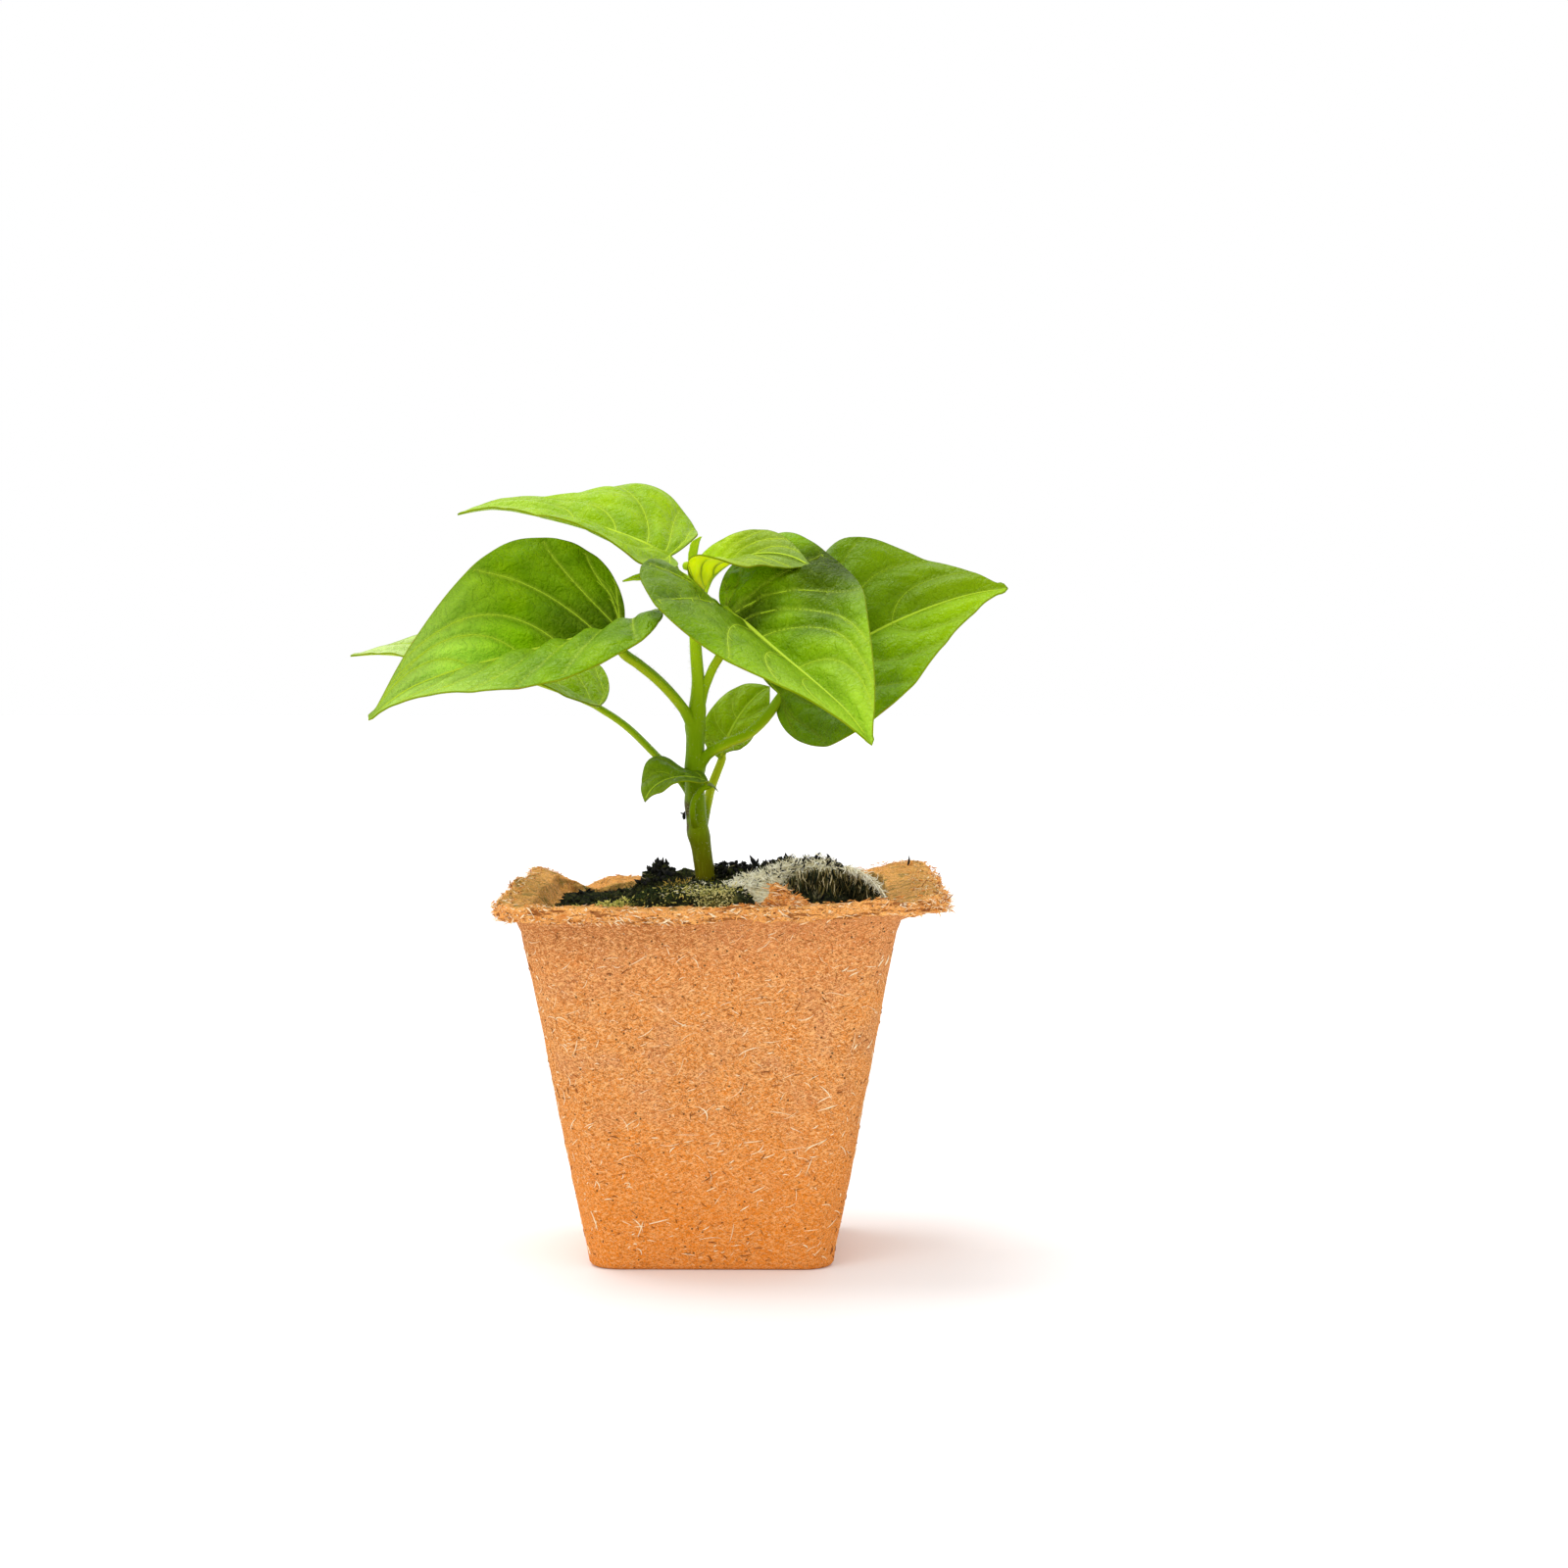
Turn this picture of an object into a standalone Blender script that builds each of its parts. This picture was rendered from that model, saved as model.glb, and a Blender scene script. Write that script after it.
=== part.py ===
# Potted chilli pepper plant: a young plant with six true leaves, two seed leaves and a
# growing tip, in a square tapered pot of pressed wood and coir fibre filled with soil.
# Metres, +Z up. The origin is the middle of the pot's flat base, and the front faces -Y.
import math

import bmesh
import bpy
from mathutils import Vector, noise

MM = 0.001
COLLECTION = "potted_chilli_pepper_plant"

# Pot
POT_HEIGHT = 80 * MM
BASE_WIDTH = 53 * MM
TOP_WIDTH = 82 * MM
CORNER_RADIUS = 7 * MM
POT_WALL = 2 * MM
POT_FLOOR = 2.5 * MM
BASE_EDGE = 0.9 * MM
LIP_THICKNESS = 3.0 * MM
LIP_OVERHANG = {"left": 4.6 * MM, "right": 10.2 * MM, "front": 6.3 * MM, "back": 6.6 * MM}
LIP_RAGGED = 0.7 * MM
# Curled places on the lip: direction seen from above in degrees, lift, and half the spread
LIP_CURLS = (
    (175, 2.3 * MM, 30), (139, 2.0 * MM, 7), (127.5, -3.2 * MM, 3.5),
    (47, 3.2 * MM, 8), (5, 1.9 * MM, 40), (-42, 1.7 * MM, 20),
)
LIP_ROOT = 3 * MM
INNER_RIM_DROP = 0.8 * MM
POT_SIDES = 72
WALL_ROWS = 4
CORNER_CROWDING = 0.1

# Soil
CLEARANCE = 0.3 * MM
SOIL_LEVEL = 76.5 * MM
SOIL_RISE = 5.5 * MM
MOUND_HEIGHT = 4.8 * MM
TRENCH_DEPTH = 7.0 * MM
SOIL_LUMPS = ((6.5 * MM, 1.3 * MM), (3.0 * MM, 0.5 * MM))
# Where the soil climbs from the left, where the mound starts from the left, the front and
# the back, where it falls to the right wall, and where the trench before it begins
CLIMB = (-28 * MM, -5 * MM)
MOUND_LEFT = (5 * MM, 17 * MM)
MOUND_FRONT = (-20 * MM, -12 * MM)
MOUND_BACK = (8 * MM, 36 * MM)
RIGHT_FALL = (24 * MM, 41 * MM)
TRENCH_LEFT = (6 * MM, 14 * MM)
TRENCH_BACK = (-24 * MM, -17 * MM)
COLLAR_REACH = (4 * MM, 9 * MM)
CLUMP = {"x": -13 * MM, "y": 5 * MM, "radius": 4.5 * MM, "height": 4.5 * MM}
SOIL_SIDES = 72
SOIL_RINGS = 10

# Stem: height, sideways place and radius, in millimetres, from the root's end to the tip
STEM_FOOT_X = -2.0 * MM
STEM_COLLAR = 82 * MM
STEM_STATIONS = (
    (58, -2.0, 1.2), (66, -2.0, 1.9), (81.6, -2.0, 2.15), (88, -2.6, 2.2), (96, -3.9, 2.3),
    (104, -4.4, 2.15), (110, -4.3, 2.1), (118, -4.1, 2.0), (122, -3.8, 1.7), (127, -3.6, 1.45),
    (134, -4.1, 1.35), (143, -4.5, 1.15), (148, -4.8, 1.0),
)
ROOT_END = 58 * MM
ROOT_HOLE_RADIUS = 2.5 * MM
HOLE_TOP = 100 * MM

# Leaves
BLADE_THICKNESS = 0.6 * MM
HALF_SHARE = 0.55
FAN_SHARE = 0.30
VEINS = 6
PUFF_SHARE = 0.0075
BLADE_ROWS = 18
HALF_COLUMNS = 4
MIDRIB_DROP = 0.30 * MM

# Each leaf: where its blade starts, in millimetres, the heading of its midrib seen from
# above, how far that rises, droops, hooks at the tip and swings, how the blade rolls and
# twists about it, its length and half widths, its basal lobes, and how each half folds up
# from the midrib, unfolds towards the tip, curls and waves. Pairs are for the left and the
# right half. Angles are in degrees and lengths in millimetres.
# The petiole is a route from the stem to the blade, with its radius. The rows of a blade
# with lobes fan out from its base, and fan=0 is for a narrow blade that has none. Such a
# blade starts and ends blunt, wider than it is thick, at the shares of its outline in ends.
LEAVES = {
    "leaf_left_front": dict(
        base=(-20.3, -8.0, 138.1), heading=206, rise=-16, droop=-10, hook=37, swing=0,
        roll=-21, twist=-35, length=61.5, widest=0.26, point=0.10,
        width=(28, 25.5), lobe=(4.2, 3), fold=(46, 38), curl=(-48, 16), wave=(1.1, -0.3),
        waves=2.5, phase=-0.21, petiole_radius=1.15,
        petiole=((-4.2, -0.2, 116.5), (-6.7, -1.8, 120.7), (-9.6, -3.4, 124.4),
                 (-12.8, -5, 127.7), (-16.4, -6.6, 130.7), (-20, -7.8, 133.6)),
    ),
    "leaf_left_back": dict(
        base=(-26.6, 12.0, 121.3), heading=177, rise=21, droop=16, hook=10, swing=-7,
        roll=-13, twist=-1, length=59.5, widest=0.38, point=0.20,
        width=(21, 21), lobe=(1.4, 1), fold=(15, 15), curl=(0, 5), wave=(0.7, -0.4),
        waves=2.5, phase=0.0, petiole_radius=0.85,
        petiole=((-3.9, 0.4, 99.5), (-7.4, 2.2, 104.4), (-13.4, 5, 110.4), (-20, 9, 116.5)),
    ),
    "leaf_top_left": dict(
        base=(-10.4, 9.0, 155.1), heading=169, rise=25, droop=21, hook=17, swing=5,
        roll=-29, twist=16, length=51, widest=0.28, point=0.23,
        width=(20, 22), lobe=(4, 1), fold=(15, 11), curl=(11, -22), wave=(0.9, 3.0),
        waves=2.5, phase=-0.14, petiole_radius=0.75,
        petiole=((-4.3, 0.3, 138), (-6.2, 3, 143.8), (-7.9, 6.5, 149.6)),
    ),
    "leaf_front": dict(
        base=(2.3, -6.0, 142.3), heading=-47, rise=-31, droop=-11, hook=19, swing=-7,
        roll=13, twist=14, length=58, widest=0.17, point=0.40,
        width=(26.5, 28.5), lobe=(7.5, 10.6), fold=(42, 50), curl=(-23, -48), wave=(2.4, -0.8),
        waves=2.8, phase=0.11, petiole_radius=1.0,
        petiole=((-3.8, 0.3, 120), (-2.2, 0.4, 125.2), (-0.3, -1.2, 129.8),
                 (1.5, -3, 132.9), (2.8, -5, 137.6)),
    ),
    "leaf_right": dict(
        base=(14.7, 5.9, 123.8), heading=-5, rise=39, droop=26, hook=5, swing=-3,
        roll=68, twist=-24, length=57, widest=0.33, point=0.30,
        width=(26, 25), lobe=(0.5, 4.4), fold=(11, 9), curl=(-27, 14), wave=(-5, 0.5),
        waves=3.1, phase=-0.29, petiole_radius=1.15,
        petiole=((-4.4, -0.2, 107), (-1.6, -1.2, 110.4), (0.7, -1.2, 112), (4, -0.8, 113.5),
                 (7.3, 0.2, 115), (10.1, 1.8, 117.3), (12.2, 3.2, 119.7)),
    ),
    "leaf_top_right": dict(
        base=(-2.3, -0.5, 146.4), heading=-17, rise=59, droop=96, hook=-8, swing=0,
        roll=26, twist=5, length=28.7, widest=0.37, point=0.30,
        width=(8, 10), lobe=(0.9, -1.8), fold=(43, 88), unfold=(22, 110), curl=(-2, -1),
        wave=(0.3, 1.3), waves=2.8, phase=0.07, petiole_radius=0.6,
        petiole=((-4.4, 0, 139.5), (-3.6, -0.2, 143)),
    ),
    "seed_leaf_front": dict(
        base=(-0.6, -4.5, 104.1), heading=202, rise=28, droop=72, hook=28, swing=3,
        fan=0, ends=(0.06, 0.98), roll=-16, twist=-6, length=18, widest=0.5, point=0.5,
        width=(5, 7), lobe=(-1, -1), fold=(8, 12), curl=(1, -3), wave=(0.5, 2.0),
        waves=2.4, phase=-0.19, petiole_radius=0.7,
        petiole=((-3.5, 0, 92.5), (-4.7, -3.4, 97), (-4.3, -4.2, 100.5), (-2.4, -4.5, 103.2)),
    ),
    "seed_leaf_back": dict(
        base=(1.0, 9.0, 108.9), heading=22, rise=75, droop=39, hook=10, swing=4,
        fan=0, ends=(0.06, 0.98), roll=39, twist=-3, length=21.3, widest=0.43, point=0.91,
        width=(7.2, 6.5), lobe=(-0.9, -2.9), fold=(3, 7), curl=(-5, -1), wave=(0.5, -0.2),
        waves=2.4, phase=0.0, petiole_radius=0.8,
        petiole=((-3.4, 0.5, 92.6), (-1.9, 4.6, 98.5), (-0.9, 7.2, 103.0)),
    ),
}

# Growing tip: a folded spike leaf, a young leaf to the left and a round bud, on a short stub
TIP_STUB = ((-4.85, 0.0, 148.35, 0.95), (-4.9, 0.0, 151.0, 0.9), (-4.8, 0.0, 153.0, 0.6))
TIP_BUD = {"place": (-6.0, -0.6, 152.6), "radius": 1.0}
SPIKE_LEAF = dict(
    base=(-4.9, 0.0, 151.6), heading=-20, rise=72, droop=-8, hook=0, swing=0,
    roll=0, twist=0, length=7.8, widest=0.55, point=0.9,
    width=(1.9, 1.9), lobe=(-0.2, -0.2), fold=(52, 52), curl=(0, 0), wave=(0, 0),
    waves=1, phase=0, fan=0, ends=(0.14, 0.93),
)
YOUNG_LEAF = dict(
    base=(-5.2, -0.3, 149.4), heading=178, rise=6, droop=12, hook=0, swing=0,
    roll=-24, twist=0, length=15.3, widest=0.40, point=0.5,
    width=(3.2, 2.8), lobe=(-0.4, -0.4), fold=(22, 22), curl=(0, 0), wave=(0, 0),
    waves=1, phase=0, fan=0, ends=(0.14, 0.93),
)
SMALL_ROWS = 7
SMALL_COLUMNS = 2


def clear_scene():
    for obj in list(bpy.data.objects):
        bpy.data.objects.remove(obj, do_unlink=True)


def make_collection(name):
    collection = bpy.data.collections.new(name)
    bpy.context.scene.collection.children.link(collection)
    return collection


def make_material(name, color, roughness):
    material = bpy.data.materials.new(name)
    material.use_nodes = True
    shader = material.node_tree.nodes["Principled BSDF"]
    shader.inputs["Base Color"].default_value = (*color, 1)
    shader.inputs["Roughness"].default_value = roughness
    shader.inputs["Metallic"].default_value = 0
    return material


def in_metres(point):
    return Vector(point) * MM


def blend(low, high, value):
    # Smooth step from 0 at low to 1 at high
    share = min(max((value - low) / (high - low), 0), 1)
    return share * share * (3 - 2 * share)


def new_object(name, mesh, collection, material=None):
    obj = bpy.data.objects.new(name, mesh)
    if material:
        mesh.materials.append(material)
    collection.objects.link(obj)
    return obj


def hide_helper(obj):
    obj.hide_render = True
    obj.display_type = "WIRE"
    return obj


def shade(obj, degrees=40):
    obj.data.shade_smooth()
    obj.data.set_sharp_from_angle(angle=math.radians(degrees))


# Pot and soil share one family of rings: rounded squares around the Z axis

def square_reach(angle, half, corner):
    # Distance from the axis to a rounded square's edge, in one direction
    cos = abs(math.cos(angle))
    sin = abs(math.sin(angle))
    flat = half / max(cos, sin)
    middle = half - corner
    if flat * min(cos, sin) <= middle:
        return flat
    near = middle * (cos + sin)
    return near + math.sqrt(corner * corner - 2 * middle * middle + near * near)


def ring_angle(share):
    # Points stand closer together round the corners than along the sides
    return 2 * math.pi * share + CORNER_CROWDING * math.sin(8 * math.pi * share)


def outer_half(height):
    return BASE_WIDTH / 2 + (TOP_WIDTH - BASE_WIDTH) / 2 * height / POT_HEIGHT


def lip_lift(angle):
    degrees = math.degrees(angle) % 360
    return sum(
        lift * math.exp(-(((degrees - place + 180) % 360 - 180) / spread) ** 2)
        for place, lift, spread in LIP_CURLS
    )


def pot_rows():
    # Half width, height, corner radius, how far out on the lip and its share of the lip's
    # curl, from the middle of the base round the outside and over the lip to the middle of
    # the floor inside
    under = POT_HEIGHT - LIP_THICKNESS
    rows = [
        (0, 0, 0, 0, 0),
        (BASE_WIDTH / 2 - 5 * MM, 0, CORNER_RADIUS - 4 * MM, 0, 0),
        (BASE_WIDTH / 2 - BASE_EDGE, 0, CORNER_RADIUS - BASE_EDGE, 0, 0),
        (outer_half(BASE_EDGE), BASE_EDGE, CORNER_RADIUS, 0, 0),
    ]
    top = under - LIP_ROOT
    for step in range(1, WALL_ROWS + 1):
        height = BASE_EDGE + (top - BASE_EDGE) * step / WALL_ROWS
        rows.append((outer_half(height), height, CORNER_RADIUS, 0, 0))
    side = outer_half(under)
    rows += [
        (side + 0.5 * MM, under - 0.7 * MM, CORNER_RADIUS, 0, 0.2),
        (side, under, CORNER_RADIUS, 0.35, 0.5),
        (side, under, CORNER_RADIUS, 0.93, 1),
        (side, under + LIP_THICKNESS * 0.5, CORNER_RADIUS, 1, 1),
        (side, POT_HEIGHT, CORNER_RADIUS, 0.90, 1),
        (side, POT_HEIGHT, CORNER_RADIUS, 0.35, 0.7),
        (side - POT_WALL, POT_HEIGHT - INNER_RIM_DROP, CORNER_RADIUS - POT_WALL, 0, 0.6),
    ]
    inside_top = under - 1 * MM
    for step in range(WALL_ROWS):
        height = inside_top + (POT_FLOOR + 2 * MM - inside_top) * step / (WALL_ROWS - 1)
        rows.append((outer_half(height) - POT_WALL, height, CORNER_RADIUS - POT_WALL, 0, 0))
    floor_edge = outer_half(POT_FLOOR) - POT_WALL - 1.5 * MM
    rows += [
        (floor_edge, POT_FLOOR, CORNER_RADIUS - POT_WALL - 1 * MM, 0, 0),
        (0, POT_FLOOR, 0, 0, 0),
    ]
    return rows


def pot_point(row, share):
    half, height, corner, out, curl = row
    if half == 0:
        return Vector((0, 0, height))
    angle = ring_angle(share)
    reach = square_reach(angle, half, corner)
    x = reach * math.cos(angle)
    y = reach * math.sin(angle)
    if curl == 0:
        return Vector((x, y, height))
    over_x = LIP_OVERHANG["right"] if x > 0 else LIP_OVERHANG["left"]
    over_y = LIP_OVERHANG["back"] if y > 0 else LIP_OVERHANG["front"]
    torn = LIP_RAGGED * noise.noise(Vector((x, y, 0)) / (5 * MM)) * out
    x *= 1 + (out * over_x + torn) / half
    y *= 1 + (out * over_y + torn) / half
    height += curl * lip_lift(angle)
    height += LIP_RAGGED * noise.noise(Vector((x, y, 40 * MM)) / (7 * MM)) * out
    return Vector((x, y, height))


def lofted_mesh(name, rows, sides, place):
    # A grid rolled up round the Z axis, whose first and last rows close to points
    bm = bmesh.new()
    bmesh.ops.create_grid(bm, x_segments=sides, y_segments=len(rows) - 1, size=1)
    for vert in bm.verts:
        share = (vert.co.x + 1) / 2
        row = rows[round((vert.co.y + 1) / 2 * (len(rows) - 1))]
        vert.co = place(row, share % 1)
    bmesh.ops.remove_doubles(bm, verts=bm.verts, dist=0.01 * MM)
    bmesh.ops.triangulate(bm, faces=bm.faces)
    bmesh.ops.recalc_face_normals(bm, faces=bm.faces)
    mesh = bpy.data.meshes.new(name)
    bm.to_mesh(mesh)
    bm.free()
    return mesh


def make_pot(parts):
    mesh = lofted_mesh("pot", pot_rows(), POT_SIDES, pot_point)
    fibre = make_material("pressed_fibre", (0.50, 0.22, 0.09), 0.95)
    pot = new_object("pot", mesh, parts, fibre)
    shade(pot)


def soil_top(x, y):
    # The soil climbs from the left to the stem, with a mound at the right that stands
    # back from the front wall, and a clump behind the stem at the left
    mound = blend(*MOUND_LEFT, x) * blend(*MOUND_FRONT, y) * (1 - 0.6 * blend(*MOUND_BACK, y))
    rise = SOIL_RISE * blend(*CLIMB, x) + MOUND_HEIGHT * mound
    height = SOIL_LEVEL + rise * (1 - blend(*RIGHT_FALL, x))
    right_front = blend(*TRENCH_LEFT, x) * (1 - blend(*TRENCH_BACK, y))
    height -= TRENCH_DEPTH * right_front
    from_clump = math.hypot(x - CLUMP["x"], y - CLUMP["y"]) / CLUMP["radius"]
    height += CLUMP["height"] * math.exp(-from_clump * from_clump)
    lumps = sum(size * noise.noise(Vector((x, y, 0)) / pitch) for pitch, size in SOIL_LUMPS)
    from_stem = math.hypot(x - STEM_FOOT_X, y)
    near_stem = 1 - blend(*COLLAR_REACH, from_stem)
    return height * (1 - near_stem) + STEM_COLLAR * near_stem + lumps * (1 - near_stem)


def soil_rows():
    # Kind of row and how far along it: up the sides from the middle of the bottom, then
    # inwards over the top
    rows = [("bottom", 0), ("bottom", 1)]
    rows += [("side", step / 3) for step in range(4)]
    rows += [("top", 1 - step / SOIL_RINGS) for step in range(1, SOIL_RINGS + 1)]
    return rows


def soil_point(row, share):
    kind, along = row
    angle = ring_angle(share)
    corner = CORNER_RADIUS - POT_WALL - CLEARANCE
    low = POT_FLOOR + CLEARANCE
    bottom_half = outer_half(POT_FLOOR) - POT_WALL - 2.2 * MM
    rim = POT_HEIGHT - LIP_THICKNESS - 1 * MM
    if kind == "bottom":
        reach = square_reach(angle, bottom_half, corner - 1 * MM) * along
        return Vector((reach * math.cos(angle), reach * math.sin(angle), low))
    way = Vector((math.cos(angle), math.sin(angle)))
    edge = way * square_reach(angle, outer_half(rim) - POT_WALL - CLEARANCE, corner)
    if kind == "side":
        floor_height = POT_FLOOR + 2 * MM
        edge_height = min(rim, soil_top(edge.x, edge.y) - 0.5 * MM)
        height = floor_height + (edge_height - floor_height) * along
        side = way * square_reach(angle, outer_half(height) - POT_WALL - CLEARANCE, corner)
        return Vector((side.x, side.y, height))
    top = edge * along
    return Vector((top.x, top.y, soil_top(top.x, top.y)))


def make_soil(parts, helpers):
    mesh = lofted_mesh("soil", soil_rows(), SOIL_SIDES, soil_point)
    earth = make_material("soil", (0.035, 0.032, 0.022), 1.0)
    soil = new_object("soil", mesh, parts, earth)
    bm = bmesh.new()
    depth = HOLE_TOP - ROOT_END
    bmesh.ops.create_cone(
        bm, cap_ends=True, segments=16, radius1=ROOT_HOLE_RADIUS, radius2=ROOT_HOLE_RADIUS, depth=depth
    )
    middle = Vector((STEM_FOOT_X, 0, ROOT_END - CLEARANCE + depth / 2))
    bmesh.ops.translate(bm, verts=bm.verts, vec=middle)
    hole_mesh = bpy.data.meshes.new("stem_hole")
    bm.to_mesh(hole_mesh)
    bm.free()
    hole = hide_helper(new_object("stem_hole", hole_mesh, helpers))
    cut = soil.modifiers.new("stem_hole", "BOOLEAN")
    cut.operation = "DIFFERENCE"
    cut.object = hole
    shade(soil)


# Tubes: the stem, the petioles and the midribs are tapered curves made into meshes

def tube_mesh(name, stations, bevel_resolution, resolution):
    # Stations are (point, radius). Bevel depth is one metre, so a point's radius is real
    curve = bpy.data.curves.new(name, "CURVE")
    curve.dimensions = "3D"
    curve.bevel_depth = 1
    curve.bevel_resolution = bevel_resolution
    curve.resolution_u = resolution
    curve.use_fill_caps = True
    spline = curve.splines.new("BEZIER")
    spline.bezier_points.add(len(stations) - 1)
    for bezier_point, (point, radius) in zip(spline.bezier_points, stations):
        bezier_point.co = point
        bezier_point.radius = radius
        bezier_point.handle_left_type = "AUTO"
        bezier_point.handle_right_type = "AUTO"
    guide = bpy.data.objects.new(name + "_guide", curve)
    bpy.context.scene.collection.objects.link(guide)
    graph = bpy.context.evaluated_depsgraph_get()
    mesh = bpy.data.meshes.new_from_object(guide.evaluated_get(graph))
    bpy.data.objects.remove(guide, do_unlink=True)
    bm = bmesh.new()
    bm.from_mesh(mesh)
    bmesh.ops.remove_doubles(bm, verts=bm.verts, dist=0.005 * MM)
    bmesh.ops.triangulate(bm, faces=bm.faces)
    bmesh.ops.recalc_face_normals(bm, faces=bm.faces)
    bm.to_mesh(mesh)
    bm.free()
    return mesh


def stem_stations(extra=0):
    return [
        (in_metres((x, 0, height)), radius * MM + extra)
        for height, x, radius in STEM_STATIONS
    ]


def make_stem(parts, green):
    mesh = tube_mesh("stem", stem_stations(), 3, 3)
    stem = new_object("stem", mesh, parts, green)
    shade(stem)


# Leaves

def bezier(points, share):
    rest = 1 - share
    weights = (rest ** 3, 3 * rest * rest * share, 3 * rest * share * share, share ** 3)
    return sum((point * weight for point, weight in zip(points, weights)), Vector((0, 0)))


def margin_point(leaf, side, along):
    # The outline of one half, from the notch at the petiole round the lobe to the tip
    length = leaf["length"]
    width = leaf["width"][side]
    lobe = leaf["lobe"][side]
    widest = leaf["widest"] * length
    if along < HALF_SHARE:
        arc = (
            Vector((0, 0)), Vector((-1.55 * lobe, 0.1 * width)),
            Vector((widest - 0.42 * length - 0.25 * lobe, width)), Vector((widest, width)),
        )
        return bezier(arc, along / HALF_SHARE)
    arc = (
        Vector((widest, width)), Vector((widest + 0.3 * length, width)),
        Vector((0.8 * length, leaf["point"] * width)), Vector((length, 0)),
    )
    return bezier(arc, (along - HALF_SHARE) / (1 - HALF_SHARE))


def midrib_frames(leaf, steps=48):
    # Point, forward, left and up along the midrib, in millimetres
    frames = []
    point = Vector(leaf["base"])
    before = None
    for step in range(steps + 1):
        share = step / steps
        heading = math.radians(leaf["heading"] + leaf["swing"] * share)
        rise = math.radians(leaf["rise"] - leaf["droop"] * share - leaf["hook"] * share ** 4)
        forward = Vector(
            (math.cos(rise) * math.cos(heading), math.cos(rise) * math.sin(heading), math.sin(rise))
        )
        if before:
            point = point + (before + forward) * (leaf["length"] / steps / 2)
        before = forward
        level_up = (Vector((0, 0, 1)) - forward * forward.z).normalized()
        level_left = level_up.cross(forward)
        roll = math.radians(leaf["roll"] + leaf["twist"] * share)
        left = level_left * math.cos(roll) + level_up * math.sin(roll)
        up = level_up * math.cos(roll) - level_left * math.sin(roll)
        frames.append((point.copy(), forward, left, up))
    return frames


def frame_at(leaf, frames, x):
    # Past either end the midrib runs on straight
    steps = len(frames) - 1
    place = min(max(x / leaf["length"], 0), 1) * steps
    low = min(int(place), steps - 1)
    share = place - low
    point, forward, left, up = (a.lerp(b, share) for a, b in zip(frames[low], frames[low + 1]))
    past = min(x, 0) + max(x - leaf["length"], 0)
    return point + forward * past, left, up


def blade_point(leaf, frames, across, along, puff):
    # across is -1 at the left margin, 0 on the midrib and 1 at the right margin
    side = 0 if across < 0 else 1
    out = abs(across)
    margin = margin_point(leaf, side, along)
    fan = leaf.get("fan", FAN_SHARE)
    start = Vector((leaf["length"] * max((along - fan) / (1 - fan), 0) ** 1.15, 0))
    handle = Vector((start.x + 0.3 * (margin.x - start.x), 0.62 * margin.y))
    flat = start * (1 - out) ** 2 + handle * (2 * out * (1 - out)) + margin * out * out
    width = leaf["width"][side]
    opened = leaf.get("unfold", (0, 0))[side] * min(max(flat.x / leaf["length"], 0), 1) ** 0.7
    fold = math.radians(leaf["fold"][side] - opened)
    bend = math.radians(leaf["curl"][side]) / width
    if abs(bend) < 1e-5:
        bend = 1e-5
    angle = fold + bend * flat.y
    reach = (math.sin(angle) - math.sin(fold)) / bend
    lift = (math.cos(fold) - math.cos(angle)) / bend
    turn = 2 * math.pi * (leaf["waves"] * along + leaf["phase"])
    wave = leaf["wave"][side] * math.sin(turn) * min(flat.y / width, 1) ** 1.5 if flat.y > 0 else 0
    wave += puff * math.sin(math.pi * VEINS * along) ** 2 * math.sin(math.pi * out)
    reach -= wave * math.sin(angle)
    lift += wave * math.cos(angle)
    point, left, up = frame_at(leaf, frames, flat.x)
    outward = left if side == 0 else -left
    return (point + outward * reach + up * lift) * MM


def blade_mesh(name, leaf, rows, columns, puff):
    frames = midrib_frames(leaf)
    first, last = leaf.get("ends", (0, 1))
    bm = bmesh.new()
    bmesh.ops.create_grid(bm, x_segments=2 * columns, y_segments=rows, size=1)
    for vert in bm.verts:
        along = first + (last - first) * (vert.co.y + 1) / 2
        vert.co = blade_point(leaf, frames, vert.co.x, along, puff)
    bmesh.ops.remove_doubles(bm, verts=bm.verts, dist=0.02 * MM)
    bmesh.ops.triangulate(bm, faces=bm.faces)
    mesh = bpy.data.meshes.new(name)
    bm.to_mesh(mesh)
    bm.free()
    return mesh


def add_thickness(obj):
    solid = obj.modifiers.new("thickness", "SOLIDIFY")
    solid.thickness = BLADE_THICKNESS
    solid.offset = 0


def add_boolean(obj, other, operation):
    # The exact solver loses some of these thin folded sheets, so they use the manifold one
    modifier = obj.modifiers.new(other.name, "BOOLEAN")
    modifier.operation = operation
    modifier.solver = "MANIFOLD"
    modifier.object = other


def stalk_stations(leaf):
    # The petiole, and on from it the midrib under the blade, tapering to the tip
    radius = leaf["petiole_radius"] * MM
    stations = [(in_metres(point), radius) for point in leaf["petiole"]]
    frames = midrib_frames(leaf)
    for share, taper in ((0.0, 0.85), (0.15, 0.6), (0.4, 0.45), (0.7, 0.32)):
        point, _, up = frame_at(leaf, frames, share * leaf["length"])
        stations.append((point * MM - up * MIDRIB_DROP, max(radius * taper, 0.28 * MM)))
    return stations


def make_leaf(name, leaf, parts, helpers, green, stem_room):
    mesh = blade_mesh(name, leaf, BLADE_ROWS, HALF_COLUMNS, PUFF_SHARE * leaf["length"])
    blade = new_object(name, mesh, parts, green)
    add_thickness(blade)
    stalk_mesh = tube_mesh(name + "_stalk", stalk_stations(leaf), 1, 2)
    stalk = hide_helper(new_object(name + "_stalk", stalk_mesh, helpers))
    add_boolean(blade, stalk, "UNION")
    add_boolean(blade, stem_room, "DIFFERENCE")
    shade(blade, 60)


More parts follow.
